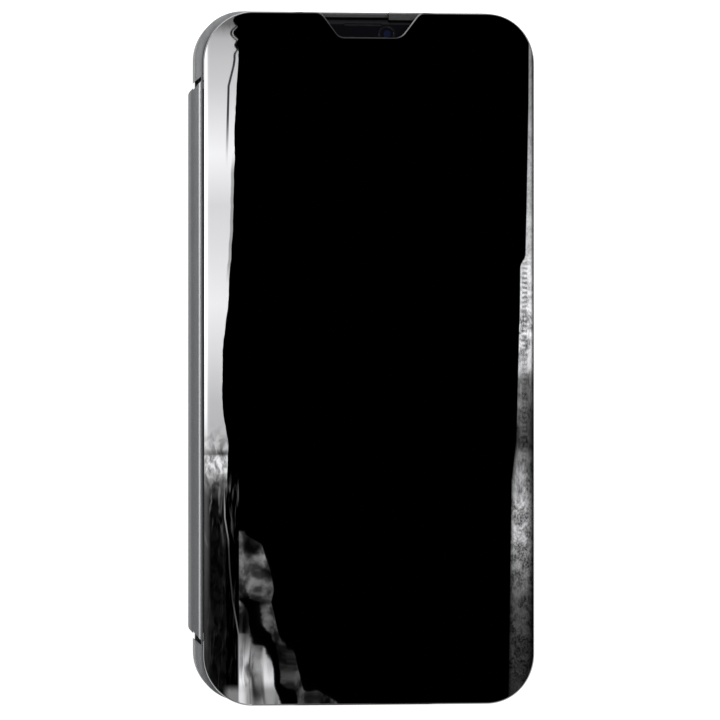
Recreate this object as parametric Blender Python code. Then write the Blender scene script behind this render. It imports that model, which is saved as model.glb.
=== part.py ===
"""A touch-screen handset shut inside a mirror flip case that lies on its back.

Metres. +Z is up out of the mirror cover, +Y points to the earpiece end and the case's spine runs
along -X. The origin is on the table, under the middle of the closed case.
"""

import math

import bmesh
import bpy
from mathutils import Vector

MM = 0.001
QUARTER = math.pi / 2

# Handset: outside
HANDSET_LENGTH = 156.7 * MM
HANDSET_WIDTH = 75.4 * MM
HANDSET_THICKNESS = 7.7 * MM
HANDSET_CORNER = 9.9 * MM
GLASS = 0.7 * MM
FRAME_WALL = 1.5 * MM
PLATE = 0.7 * MM
DISPLAY = 1.1 * MM

# Handset: inside
BOARD = 0.8 * MM
BATTERY_SIDES = 12.4 * MM      # of the bay's width, left beside the battery
BATTERY_ENDS = 67.7 * MM       # of the bay's length, left for the two boards
SHIELD_HEIGHT = 1.4 * MM
SHIELD_WALL = 0.2 * MM
SCREW_HEAD = 2.4 * MM
SCREW_SHANK = 1.2 * MM
CAMERA_FROM_SIDE = 12.4 * MM
CAMERA_FROM_TOP = 10.65 * MM
CAMERA_PITCH = 9.4 * MM
CAMERA_BODY = 8.6 * MM
CAMERA_BARREL = 7.0 * MM
CAMERA_RING_WIDTH = 10.0 * MM
CAMERA_BUMP = 0.85 * MM
FRONT_CAMERA_X = 5.6 * MM
FRONT_CAMERA_BODY = 4.4 * MM
TRAY_X = -19.0 * MM
TRAY_WIDTH = 13.0 * MM
TRAY_LENGTH = 15.5 * MM
CARD_LENGTH = 12.0 * MM
CARD_WIDTH = 8.8 * MM
USB_WIDTH = 9.0 * MM
USB_HEIGHT = 3.2 * MM
USB_DEPTH = 7.4 * MM
BUTTON_HEIGHT = 2.2 * MM
BUTTON_PROUD = 0.45 * MM
BUTTON_FLANGE = 0.5 * MM
POWER_LENGTH = 9.0 * MM
POWER_Y = 12.0 * MM
VOLUME_LENGTH = 20.0 * MM
VOLUME_Y = 34.0 * MM
MOTOR_DIAMETER = 3.6 * MM
MOTOR_LENGTH = 8.0 * MM
MOTOR_X = -26.0 * MM
WEIGHT_LENGTH = 3.2 * MM
SHAFT = 0.7 * MM
EARPIECE_X = -4.4 * MM
SCREW_INSET = 2.5 * MM
FLASH_SIZE = 4.2 * MM
SPEAKER_HOLES = 6
SPEAKER_HOLE = 1.3 * MM
SPEAKER_HOLE_X = 12.5 * MM
SPEAKER_HOLE_PITCH = 2.6 * MM
MICROPHONE_HOLE = 1.0 * MM
MICROPHONE_HOLE_X = 7.6 * MM
EARPIECE_SLOT = 9.0 * MM
FLEX_WIDTH = 3.5 * MM
FLEX_THICKNESS = 0.15 * MM

# Case
SHELL_WALL = 1.1 * MM
SHELL_BACK = 1.2 * MM
SHELL_LIP = 0.5 * MM
SHELL_KERB = 0.4 * MM
SHELL_BASE_EDGE = 1.3 * MM
SHELL_TOP_EDGE = 0.35 * MM
COVER_PLATE = 1.6 * MM
COVER_CORNER = 11.5 * MM
COVER_OVERHANG = 1.0 * MM
COVER_SETBACK = 1.75 * MM
COVER_DROP = 0.9 * MM
COVER_TOP_GAP = 0.3 * MM
EDGE_CURVE_WIDTH = 8.2 * MM
EDGE_CURVE_DROP = 1.9 * MM
RIM_WIDTH = 1.3 * MM
LINER = 0.5 * MM
NOTCH_TOP = 22.9 * MM
NOTCH_FLAT = 14.2 * MM
NOTCH_DEPTH = 5.7 * MM
NOTCH_FILLET = 2.4 * MM
NOTCH_MISS = 0.05 * MM
NOTCH_RISE = 8.0 * MM
SPINE_PROUD = 1.2 * MM
SPINE_SKIN = 0.8 * MM
SPINE_CORE = 0.6 * MM
CORNER_GRIPS = 33.5 * MM       # of the shell's length, left beyond the spine's ends
SPINE_SHIFT = -1.05 * MM
SPINE_END_RADIUS = 2.2 * MM
SPINE_END_SLANT = 1.0 * MM
SPINE_EDGE = 0.3 * MM
FOLD = 0.6 * MM
BACK_FOLD_RADIUS = 1.35 * MM
FRONT_FOLD_RADIUS = 1.5 * MM

# Clearances
CASE_FIT = 0.1 * MM        # handset in its tray
GLUED = 0.05 * MM          # pieces bonded face to face
SEATED = 0.15 * MM         # pieces laid beside each other
LOOSE = 0.3 * MM           # pieces that must not rub
SPINE_SLIT = 1.5 * MM      # between the spine's ends and the corner grips
OVERCUT = 2.0 * MM         # how far a cutter runs past a wall

# Levels, from the table up
HANDSET_BOTTOM = SHELL_BACK + CASE_FIT
HANDSET_TOP = HANDSET_BOTTOM + HANDSET_THICKNESS
FRAME_BOTTOM = HANDSET_BOTTOM + GLASS + GLUED
FRAME_TOP = HANDSET_TOP - GLASS - GLUED
DISPLAY_TOP = FRAME_TOP - GLUED
PLATE_TOP = DISPLAY_TOP - DISPLAY - GLUED
PLATE_BOTTOM = PLATE_TOP - PLATE
BOARD_TOP = PLATE_BOTTOM - SEATED
BOARD_BOTTOM = BOARD_TOP - BOARD
BAY_BOTTOM = FRAME_BOTTOM + SEATED
PORT_LEVEL = (FRAME_BOTTOM + PLATE_BOTTOM) / 2
SHELL_TOP = HANDSET_TOP + SHELL_LIP
LINER_BOTTOM = SHELL_TOP + LOOSE
PANEL_BOTTOM = LINER_BOTTOM + LINER + GLUED
COVER_TOP = PANEL_BOTTOM + COVER_PLATE

# Places, from the middle of the closed case
SHELL_WIDTH = HANDSET_WIDTH + 2 * (SHELL_WALL + CASE_FIT)
SHELL_LENGTH = HANDSET_LENGTH + 2 * (SHELL_WALL + CASE_FIT)
SPINE_LENGTH = SHELL_LENGTH - CORNER_GRIPS
SHELL_CORNER = HANDSET_CORNER + SHELL_WALL + CASE_FIT
CASE_WIDTH = SHELL_WIDTH + SPINE_PROUD + COVER_OVERHANG
CASE_LENGTH = SHELL_LENGTH + COVER_DROP
HANDSET_X = -CASE_WIDTH / 2 + SPINE_PROUD + SHELL_WIDTH / 2
HANDSET_Y = CASE_LENGTH / 2 - SHELL_LENGTH / 2
SHELL_LEFT = HANDSET_X - SHELL_WIDTH / 2
COVER_LEFT = SHELL_LEFT + COVER_SETBACK
COVER_WIDTH = CASE_WIDTH / 2 - COVER_LEFT
COVER_LENGTH = CASE_LENGTH - COVER_TOP_GAP
COVER_X = COVER_LEFT + COVER_WIDTH / 2
COVER_Y = -COVER_TOP_GAP / 2
SPINE_LEFT = -CASE_WIDTH / 2
SPINE_Y = HANDSET_Y + SPINE_SHIFT
FRONT_FOLD_TOP = LINER_BOTTOM + FOLD + SEATED
SPINE_TOP = FRONT_FOLD_TOP - FRONT_FOLD_RADIUS - SEATED
BACK_FOLD_CENTRE = SHELL_BACK + 0.55 * MM
SPINE_BOTTOM = BACK_FOLD_CENTRE + LOOSE
FOLD_LEFT = SPINE_LEFT + 0.1 * MM
SPINE_AXIS = Vector((FOLD_LEFT + FOLD, SPINE_Y, SHELL_BACK - 0.2 * MM))
COVER_AXIS = Vector((COVER_LEFT - 1.15 * MM, SPINE_Y, FRONT_FOLD_TOP - FOLD / 2))
BAY_WIDTH = HANDSET_WIDTH - 2 * FRAME_WALL
BAY_LENGTH = HANDSET_LENGTH - 2 * FRAME_WALL
BAY_TOP_Y = BAY_LENGTH / 2
BAY_BOTTOM_Y = -BAY_LENGTH / 2
STRIP_Y = BAY_TOP_Y - 3.2 * MM          # middle of the strip above the main board
FRONT_CAMERA_Y = BAY_TOP_Y - FRONT_CAMERA_BODY / 2 - 0.1 * MM
BATTERY_WIDTH = BAY_WIDTH - BATTERY_SIDES
BATTERY_LENGTH = BAY_LENGTH - BATTERY_ENDS
BATTERY_X = -BAY_WIDTH / 2 + 3.2 * MM + BATTERY_WIDTH / 2
BATTERY_Y = -6.0 * MM
BATTERY_TOP_Y = BATTERY_Y + BATTERY_LENGTH / 2
BATTERY_BOTTOM_Y = BATTERY_Y - BATTERY_LENGTH / 2
MAIN_BOARD_BOTTOM = BATTERY_TOP_Y + 3.0 * MM
MAIN_BOARD_TOP = STRIP_Y - 3.6 * MM
MAIN_BOARD_LEFT = -BAY_WIDTH / 2 + 2.2 * MM
MAIN_BOARD_RIGHT = BAY_WIDTH / 2 - 3.7 * MM
CAMERA_X = BAY_WIDTH / 2 - CAMERA_FROM_SIDE
CAMERA_Y = BAY_TOP_Y - CAMERA_FROM_TOP - CAMERA_PITCH / 2
CAMERA_BAY_LEFT = CAMERA_X - CAMERA_BODY / 2 - 1.8 * MM
CAMERA_BAY_BOTTOM = CAMERA_Y - CAMERA_PITCH - 2.0 * MM
FLASH_Y = CAMERA_BAY_BOTTOM - 3.0 * MM
SUB_BOARD_TOP = BATTERY_BOTTOM_Y - 5.5 * MM
SUB_BOARD_RIGHT = 10.5 * MM
FLEX_X = BATTERY_X + BATTERY_WIDTH / 2 + 3.2 * MM
KEY_FLANGE_X = BAY_WIDTH / 2 - 0.45 * MM - BUTTON_FLANGE
PORT_DEPTH_Y = -HANDSET_LENGTH / 2 + SEATED
CARD_Y = -HANDSET_LENGTH / 2 + TRAY_LENGTH - 5.4 * MM


# ---------------------------------------------------------------- modelling tools


def clear_scene():
    for obj in list(bpy.data.objects):
        bpy.data.objects.remove(obj, do_unlink=True)


def surface(name, colour, roughness, metallic=0.0):
    made = bpy.data.materials.new(name)
    made.use_nodes = True
    shader = made.node_tree.nodes["Principled BSDF"]
    shader.inputs["Base Color"].default_value = (*colour, 1.0)
    shader.inputs["Roughness"].default_value = roughness
    shader.inputs["Metallic"].default_value = metallic
    return made


def rounded_outline(width, length, radius, steps):
    """Points anticlockwise round a rectangle with round corners, centred on the origin."""
    points = []
    for corner, (side_x, side_y) in enumerate(((1, 1), (-1, 1), (-1, -1), (1, -1))):
        for step in range(steps + 1):
            angle = (corner + step / steps) * QUARTER
            x = side_x * (width / 2 - radius) + radius * math.cos(angle)
            y = side_y * (length / 2 - radius) + radius * math.sin(angle)
            points.append((x, y))
    return points


def filleted(corners, radius, steps=4):
    """The same outline with each corner turned into an arc of this radius."""
    points = []
    for i, corner in enumerate(corners):
        here = Vector(corner)
        back = (Vector(corners[i - 1]) - here).normalized()
        on = (Vector(corners[(i + 1) % len(corners)]) - here).normalized()
        half = back.angle(on) / 2
        centre = here + (back + on).normalized() * (radius / math.sin(half))
        start = (here + back * (radius / math.tan(half)) - centre).normalized()
        end = (here + on * (radius / math.tan(half)) - centre).normalized()
        for step in range(steps + 1):
            points.append(tuple(centre + start.slerp(end, step / steps) * radius))
    return points


def stacked(name, rings, look):
    """One closed body through rings of points, the lowest first, each with as many points."""
    body = bmesh.new()
    loops = [[body.verts.new(point) for point in ring] for ring in rings]
    body.faces.new(reversed(loops[0]))
    body.faces.new(loops[-1])
    for low, high in zip(loops, loops[1:]):
        for i in range(len(low)):
            j = (i + 1) % len(low)
            body.faces.new((low[i], low[j], high[j], high[i]))
    bmesh.ops.remove_doubles(body, verts=body.verts, dist=1e-6)
    bmesh.ops.recalc_face_normals(body, faces=body.faces)
    mesh = bpy.data.meshes.new(name)
    body.to_mesh(mesh)
    body.free()
    mesh.shade_smooth()
    mesh.set_sharp_from_angle(angle=math.radians(35))
    obj = bpy.data.objects.new(name, mesh)
    obj.data.materials.append(look)
    bpy.context.scene.collection.objects.link(obj)
    return obj


def tower(name, levels, look, steps=3):
    """A body through rounded rectangles: each level is (width, length, corner radius, height)."""
    rings = []
    for width, length, radius, height in levels:
        outline = rounded_outline(width, length, radius, steps)
        rings.append([(x, y, height) for x, y in outline])
    return stacked(name, rings, look)


def slab(name, width, length, radius, low, high, look, steps=3):
    return tower(name, ((width, length, radius, low), (width, length, radius, high)), look, steps)


def tiers(name, width, length, radius, insets, look, steps=5):
    """A body whose outline is drawn in by each inset at its height."""
    levels = []
    for inset, height in insets:
        levels.append((width - 2 * inset, length - 2 * inset, radius - inset, height))
    return tower(name, levels, look, steps)


def prism(name, outline, low, high, look):
    rings = [[(x, y, height) for x, y in outline] for height in (low, high)]
    return stacked(name, rings, look)


def barrel(name, levels, look, steps=4):
    """A round body about its own Z axis: each level is (diameter, height)."""
    return tower(name, [(size, size, size / 2, height) for size, height in levels], look, steps)


def place(obj, x=0.0, y=0.0, z=0.0, turn=(0.0, 0.0, 0.0)):
    obj.location = (x, y, z)
    obj.rotation_euler = turn
    return obj


def in_handset(obj, x=0.0, y=0.0, z=0.0, turn=(0.0, 0.0, 0.0)):
    return place(obj, HANDSET_X + x, HANDSET_Y + y, z, turn)


def combine(obj, tool, operation):
    """Cuts, joins or trims the object by a helper, which is then left out of the model."""
    tool.hide_render = True
    tool.display_type = "WIRE"
    modifier = obj.modifiers.new(tool.name, "BOOLEAN")
    modifier.operation = operation
    modifier.object = tool
    modifier.solver = "EXACT"
    return obj


def cut(obj, *tools):
    for tool in tools:
        combine(obj, tool, "DIFFERENCE")
    return obj


def axis_at(name, point, parent=None):
    empty = bpy.data.objects.new(name, None)
    bpy.context.scene.collection.objects.link(empty)
    empty.location = point
    if parent:
        hang(empty, parent)
    return empty


def hang(obj, axis):
    """Parents an object to a joint's empty, and leaves it where it is."""
    offset = Vector(axis.location)
    if axis.parent:
        offset += axis.parent.location
    obj.location = Vector(obj.location) - offset
    obj.parent = axis
    return obj


ALONG_X = (0.0, QUARTER, 0.0)      # local Z to +X, local X to -Z
ALONG_Y = (-QUARTER, 0.0, 0.0)     # local Z to +Y, local Y to -Z
SECTION_XZ = (QUARTER, 0.0, 0.0)   # local X and Y drawn as X and Z, local Z to -Y
OUT_OF_LEFT = (0.0, -QUARTER, 0.0)  # local Z to -X, local X to +Z


# ---------------------------------------------------------------- materials

clear_scene()
SHELL_GREY = surface("shell_polycarbonate", (0.19, 0.19, 0.19), 0.45)
SOFT_GREY = surface("soft_touch_skin", (0.20, 0.20, 0.20), 0.7)
CORE_GREY = surface("stiffener_board", (0.10, 0.10, 0.10), 0.6)
MIRROR_BLACK = surface("smoked_mirror", (0.35, 0.35, 0.36), 0.04, 1.0)
LINER_BLACK = surface("microfibre", (0.03, 0.03, 0.03), 0.95)
GLASS_BLACK = surface("black_glass", (0.01, 0.01, 0.012), 0.05)
FRAME_BLACK = surface("anodised_aluminium", (0.05, 0.05, 0.055), 0.35, 1.0)
LENS_GLASS = surface("lens_glass", (0.02, 0.02, 0.03), 0.03)
STEEL = surface("stainless_steel", (0.55, 0.55, 0.54), 0.3, 1.0)
BOARD_BLUE = surface("circuit_board", (0.02, 0.06, 0.09), 0.5)
BATTERY_BLACK = surface("battery_pouch", (0.05, 0.05, 0.05), 0.5)
FLEX_AMBER = surface("polyimide_flex", (0.25, 0.12, 0.03), 0.4)
MODULE_BLACK = surface("moulded_lcp", (0.02, 0.02, 0.02), 0.5)
DISPLAY_BLACK = surface("display_stack", (0.01, 0.01, 0.015), 0.2)
CARD_WHITE = surface("card_plastic", (0.75, 0.75, 0.75), 0.5)
TUNGSTEN = surface("tungsten", (0.35, 0.35, 0.35), 0.4, 1.0)


# ---------------------------------------------------------------- case


def make_back_shell():
    shell = tiers(
        "case_back_shell", SHELL_WIDTH, SHELL_LENGTH, SHELL_CORNER,
        ((SHELL_BASE_EDGE, 0.0), (0.4 * SHELL_BASE_EDGE, 0.3 * SHELL_BASE_EDGE), (0.0, SHELL_BASE_EDGE),
         (0.0, SHELL_TOP - 2 * SHELL_TOP_EDGE), (SHELL_TOP_EDGE, SHELL_TOP)),
        SHELL_GREY,
    )
    place(shell, HANDSET_X, HANDSET_Y)
    fit = -CASE_FIT
    grip = SHELL_LIP + 0.1 * MM
    pocket = in_handset(tiers(
        "cut_pocket", HANDSET_WIDTH, HANDSET_LENGTH, HANDSET_CORNER,
        ((fit, SHELL_BACK), (fit, HANDSET_TOP - 1.1 * MM),
         (grip, HANDSET_TOP - 0.3 * MM), (grip, SHELL_TOP + OVERCUT)),
        SHELL_GREY,
    ))
    floor = SHELL_BACK + SHELL_KERB
    inner = SHELL_LEFT + SHELL_WALL
    outer = SHELL_LEFT - OVERCUT
    edge = SHELL_LEFT + 0.5 * MM
    wall_profile = (
        (outer, -OVERCUT), (edge, -OVERCUT), (edge, floor),
        (inner + 0.3 * MM, floor), (inner + 0.3 * MM, SHELL_TOP + OVERCUT),
        (outer, SHELL_TOP + OVERCUT),
    )
    reach = SPINE_LENGTH / 2 + SPINE_SLIT
    spine_gap = prism("cut_spine_side", wall_profile, -reach, reach, SHELL_GREY)
    place(spine_gap, 0.0, SPINE_Y, 0.0, SECTION_XZ)
    bottom_width = SHELL_WIDTH - 2 * (SHELL_CORNER - 3.1 * MM)
    bottom_gap = slab(
        "cut_bottom_edge", bottom_width, 4 * SHELL_WALL, 1.0 * MM, floor, SHELL_TOP + OVERCUT, SHELL_GREY)
    in_handset(bottom_gap, 0.0, -SHELL_LENGTH / 2)
    key_low = POWER_Y - POWER_LENGTH / 2 - 10.0 * MM
    key_high = VOLUME_Y + VOLUME_LENGTH / 2 + 4.0 * MM
    key_gap = slab(
        "cut_key_opening", 4 * SHELL_WALL, key_high - key_low, 1.0 * MM, floor, SHELL_TOP + OVERCUT,
        SHELL_GREY)
    in_handset(key_gap, SHELL_WIDTH / 2, (key_low + key_high) / 2)
    camera_low = FLASH_Y - 5.0 * MM
    camera_high = CAMERA_Y + CAMERA_PITCH + 3.6 * MM
    camera_width = CAMERA_RING_WIDTH + 5.0 * MM
    camera_gap = slab(
        "cut_camera_opening", camera_width, camera_high - camera_low, camera_width / 2 - 1.0 * MM,
        -OVERCUT, SHELL_BACK + 0.3 * MM, SHELL_GREY)
    in_handset(camera_gap, CAMERA_X, (camera_low + camera_high) / 2)
    lip_gap = slab(
        "cut_top_lip", 20.0 * MM, 6.0 * MM, 1.0 * MM, SHELL_TOP - 1.6 * MM, SHELL_TOP + OVERCUT,
        SHELL_GREY)
    in_handset(lip_gap, -4.0 * MM, SHELL_LENGTH / 2)
    return cut(shell, pocket, spine_gap, bottom_gap, key_gap, camera_gap, lip_gap)


def quarter_band(centre, radius, first, last, tail=()):
    """The section of a folded strip: a quarter ring of the strip's thickness, with a tail."""
    steps = 5
    outer = []
    inner = []
    for step in range(steps + 1):
        angle = math.radians(first + (last - first) * step / steps)
        spot = Vector((math.cos(angle), math.sin(angle)))
        outer.append(tuple(Vector(centre) + spot * radius))
        inner.append(tuple(Vector(centre) + spot * (radius - FOLD)))
    return outer + list(tail) + inner[::-1]


def make_back_fold():
    centre = (FOLD_LEFT + BACK_FOLD_RADIUS, BACK_FOLD_CENTRE)
    section = quarter_band(centre, BACK_FOLD_RADIUS, 180, 270)
    half = SPINE_LENGTH / 2 - 1.0 * MM
    fold = prism("back_fold", section, -half, half, SOFT_GREY)
    return place(fold, 0.0, SPINE_Y, 0.0, SECTION_XZ)


def make_front_fold():
    centre = (FOLD_LEFT + FRONT_FOLD_RADIUS, SPINE_TOP + SEATED)
    end = COVER_LEFT - 0.25 * MM
    tail = ((end, FRONT_FOLD_TOP), (end, FRONT_FOLD_TOP - FOLD))
    section = quarter_band(centre, FRONT_FOLD_RADIUS, 180, 90, tail)
    half = SPINE_LENGTH / 2 - 1.0 * MM
    fold = prism("front_fold", section, -half, half, SOFT_GREY)
    return place(fold, 0.0, SPINE_Y, 0.0, SECTION_XZ)


def make_spine_cover():
    """The skin: a flat strip whose two ends slant, so that it narrows towards its outer face."""
    height = SPINE_TOP - SPINE_BOTTOM
    shoulder = SPINE_SKIN - SPINE_EDGE
    narrowed = 2 * SPINE_END_SLANT
    spine = tower(
        "spine_cover",
        ((height, SPINE_LENGTH, SPINE_END_RADIUS, 0.0),
         (height, SPINE_LENGTH - narrowed * shoulder / SPINE_SKIN, SPINE_END_RADIUS, shoulder),
         (height - 2 * SPINE_EDGE, SPINE_LENGTH - narrowed, SPINE_END_RADIUS - SPINE_EDGE, SPINE_SKIN)),
        SOFT_GREY)
    return place(spine, SPINE_LEFT + SPINE_SKIN, SPINE_Y, SPINE_BOTTOM + height / 2, OUT_OF_LEFT)


def make_spine_stiffener():
    height = SPINE_TOP - SPINE_BOTTOM - 0.8 * MM
    core = slab(
        "spine_stiffener", height, SPINE_LENGTH - 4.0 * MM, SPINE_END_RADIUS, 0.0, SPINE_CORE, CORE_GREY, 2)
    x = SPINE_LEFT + SPINE_SKIN + GLUED + SPINE_CORE
    return place(core, x, SPINE_Y, (SPINE_TOP + SPINE_BOTTOM) / 2, OUT_OF_LEFT)


def notch_outline(grown):
    """The trapezoid cut in the top edge, whose upper corners flare into the edge itself."""
    half_top = NOTCH_TOP / 2 + grown
    half_flat = NOTCH_FLAT / 2 + grown
    depth = NOTCH_DEPTH + grown
    wide = half_top + 3 * NOTCH_FILLET
    corners = (
        (-half_flat, -depth), (half_flat, -depth), (half_top, NOTCH_MISS), (wide, NOTCH_MISS),
        (wide, NOTCH_RISE), (-wide, NOTCH_RISE), (-wide, NOTCH_MISS), (-half_top, NOTCH_MISS),
    )
    return filleted(corners, NOTCH_FILLET)


def cut_notch(name, grown):
    notch = prism(name, notch_outline(grown), LINER_BOTTOM - OVERCUT, COVER_TOP + OVERCUT, MIRROR_BLACK)
    return place(notch, COVER_X, COVER_Y + COVER_LENGTH / 2)


def panel_section():
    """The cover panel across its width: flat, with long edges that turn down to a rim."""
    steps = 7
    half = COVER_WIDTH / 2
    right = []
    for step in range(steps + 1):
        angle = QUARTER * step / steps
        x = half - EDGE_CURVE_WIDTH * (1 - math.sin(angle))
        z = COVER_TOP - EDGE_CURVE_DROP * (1 - math.cos(angle))
        right.append((x, z))
    right.append((half, LINER_BOTTOM))
    right.append((half - RIM_WIDTH, LINER_BOTTOM))
    right.append((half - RIM_WIDTH - 1.0 * MM, PANEL_BOTTOM))
    left = [(-x, z) for x, z in right[::-1]]
    return right + left


def make_mirror_panel():
    reach = COVER_LENGTH / 2 + OVERCUT
    panel = prism("cover_mirror_panel", panel_section(), -reach, reach, MIRROR_BLACK)
    place(panel, COVER_X, COVER_Y, 0.0, SECTION_XZ)
    trim = tiers(
        "trim_cover", COVER_WIDTH, COVER_LENGTH, COVER_CORNER,
        ((0.0, LINER_BOTTOM - OVERCUT), (0.0, COVER_TOP - 0.8 * MM), (0.25 * MM, COVER_TOP - 0.25 * MM),
         (0.8 * MM, COVER_TOP), (0.8 * MM, COVER_TOP + OVERCUT)),
        MIRROR_BLACK, 7)
    place(trim, COVER_X, COVER_Y)
    combine(panel, trim, "INTERSECT")
    return cut(panel, cut_notch("cut_panel_notch", 0.0))


def make_liner():
    inset = RIM_WIDTH + 1.0 * MM + LOOSE
    liner = slab(
        "cover_liner", COVER_WIDTH - 2 * inset, COVER_LENGTH - 2.4 * MM, COVER_CORNER - inset,
        LINER_BOTTOM, LINER_BOTTOM + LINER, LINER_BLACK, 5)
    place(liner, COVER_X, COVER_Y)
    return cut(liner, cut_notch("cut_liner_notch", 0.9 * MM))


# ---------------------------------------------------------------- handset: outside


def make_cover_glass():
    glass = in_handset(tiers(
        "cover_glass", HANDSET_WIDTH, HANDSET_LENGTH, HANDSET_CORNER,
        ((0.7 * MM, HANDSET_TOP - GLASS), (1.0 * MM, HANDSET_TOP - 0.25 * MM), (1.6 * MM, HANDSET_TOP)),
        GLASS_BLACK,
    ))
    slot = slab(
        "cut_earpiece_slot", EARPIECE_SLOT, 0.8 * MM, 0.35 * MM, HANDSET_TOP - GLASS - OVERCUT,
        HANDSET_TOP + OVERCUT, GLASS_BLACK, 2)
    in_handset(slot, 0.0, BAY_TOP_Y - 0.3 * MM)
    return cut(glass, slot)


def make_back_glass():
    glass = in_handset(tiers(
        "back_glass", HANDSET_WIDTH, HANDSET_LENGTH, HANDSET_CORNER,
        ((1.7 * MM, HANDSET_BOTTOM), (1.15 * MM, HANDSET_BOTTOM + 0.35 * MM),
         (0.9 * MM, HANDSET_BOTTOM + GLASS)),
        GLASS_BLACK,
    ))
    window = slab(
        "cut_camera_window", CAMERA_RING_WIDTH + 0.4 * MM, 2 * CAMERA_PITCH + 2.2 * MM,
        CAMERA_RING_WIDTH / 2, HANDSET_BOTTOM - OVERCUT, FRAME_BOTTOM + OVERCUT, GLASS_BLACK)
    in_handset(window, CAMERA_X, CAMERA_Y)
    flash = barrel(
        "cut_flash_window", ((FLASH_SIZE + 0.4 * MM, HANDSET_BOTTOM - OVERCUT),
                             (FLASH_SIZE + 0.4 * MM, FRAME_BOTTOM + OVERCUT)), GLASS_BLACK)
    in_handset(flash, CAMERA_X, FLASH_Y)
    return cut(glass, window, flash)


def make_frame(screw_spots):
    frame = in_handset(tiers(
        "phone_frame", HANDSET_WIDTH, HANDSET_LENGTH, HANDSET_CORNER,
        ((0.9 * MM, FRAME_BOTTOM), (0.3 * MM, FRAME_BOTTOM + 0.7 * MM), (0.0, FRAME_BOTTOM + 1.7 * MM),
         (0.0, FRAME_TOP - 1.6 * MM), (0.25 * MM, FRAME_TOP - 0.7 * MM), (0.7 * MM, FRAME_TOP)),
        FRAME_BLACK,
    ))
    bay = slab(
        "cut_bay", BAY_WIDTH, BAY_LENGTH, HANDSET_CORNER - FRAME_WALL, FRAME_BOTTOM - OVERCUT, PLATE_BOTTOM,
        FRAME_BLACK, 5)
    seat = slab(
        "cut_display_seat", HANDSET_WIDTH - 3.2 * MM, HANDSET_LENGTH - 3.2 * MM, HANDSET_CORNER - 1.6 * MM,
        PLATE_TOP, FRAME_TOP + OVERCUT, FRAME_BLACK, 5)
    cut(frame, in_handset(bay), in_handset(seat))
    hole_low = PLATE_BOTTOM - OVERCUT
    hole_high = PLATE_TOP + OVERCUT
    lens_hole = barrel(
        "cut_front_lens", ((4.2 * MM, hole_low), (4.2 * MM, hole_high)), FRAME_BLACK)
    in_handset(lens_hole, FRONT_CAMERA_X, FRONT_CAMERA_Y)
    sound_slot = slab(
        "cut_sound_slot", EARPIECE_SLOT, 1.6 * MM, 0.7 * MM, hole_low, hole_high, FRAME_BLACK, 2)
    in_handset(sound_slot, EARPIECE_X, STRIP_Y)
    cut(frame, lens_hole, sound_slot)
    for number, (x, y) in enumerate(screw_spots, 1):
        hole = barrel(
            f"cut_plate_screw_{number}", ((SCREW_SHANK + 0.4 * MM, hole_low),
                                          (SCREW_SHANK + 0.4 * MM, hole_high)), FRAME_BLACK, 2)
        cut(frame, in_handset(hole, x, y))
    return cut(frame, *bottom_edge_holes(), *key_slots())


def bottom_edge_holes():
    """The port, the tray's slot, the loudspeaker's holes and the microphone's hole."""
    depth = 2 * FRAME_WALL + OVERCUT
    y = -HANDSET_LENGTH / 2 - OVERCUT
    port = slab(
        "cut_usb_slot", USB_WIDTH + 0.4 * MM, USB_HEIGHT + 0.4 * MM, USB_HEIGHT / 2, 0.0, depth,
        FRAME_BLACK, 4)
    tray = slab(
        "cut_tray_slot", TRAY_WIDTH + 2.7 * MM, 2.5 * MM, 1.2 * MM, 0.0, depth, FRAME_BLACK, 3)
    tools = [
        in_handset(port, 0.0, y, PORT_LEVEL, ALONG_Y),
        in_handset(tray, TRAY_X, y, PORT_LEVEL, ALONG_Y),
    ]
    for number in range(SPEAKER_HOLES):
        hole = barrel(
            f"cut_speaker_hole_{number}", ((SPEAKER_HOLE, 0.0), (SPEAKER_HOLE, depth)), FRAME_BLACK, 2)
        x = SPEAKER_HOLE_X + SPEAKER_HOLE_PITCH * number
        tools.append(in_handset(hole, x, y, PORT_LEVEL, ALONG_Y))
    hole = barrel(
        "cut_microphone_hole", ((MICROPHONE_HOLE, 0.0), (MICROPHONE_HOLE, depth)), FRAME_BLACK, 2)
    tools.append(in_handset(hole, MICROPHONE_HOLE_X, y, PORT_LEVEL, ALONG_Y))
    return tools


def key_slots():
    tools = []
    for name, length, y in (("power", POWER_LENGTH, POWER_Y), ("volume", VOLUME_LENGTH, VOLUME_Y)):
        slot = slab(
            f"cut_{name}_slot", BUTTON_HEIGHT + 0.5 * MM, length + 0.6 * MM, BUTTON_HEIGHT / 2,
            0.0, 2 * FRAME_WALL + OVERCUT, FRAME_BLACK)
        tools.append(in_handset(slot, BAY_WIDTH / 2 - FRAME_WALL / 2, y, PORT_LEVEL, ALONG_X))
    return tools


def make_key(name, length, y):
    """A side key: a head that shows through the frame, on a flange that keeps it in."""
    reach = HANDSET_WIDTH / 2 + BUTTON_PROUD - KEY_FLANGE_X
    wide = BUTTON_HEIGHT + 1.0 * MM
    long = length + 1.6 * MM
    radius = BUTTON_HEIGHT / 2 - 0.1 * MM
    edge = 0.2 * MM
    key = tower(
        name,
        ((wide, long, radius, 0.0), (wide, long, radius, BUTTON_FLANGE),
         (BUTTON_HEIGHT, length, radius, BUTTON_FLANGE), (BUTTON_HEIGHT, length, radius, reach - edge),
         (BUTTON_HEIGHT - 2 * edge, length - 2 * edge, radius - edge, reach)),
        FRAME_BLACK,
    )
    return in_handset(key, KEY_FLANGE_X, y, PORT_LEVEL, ALONG_X)


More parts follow.
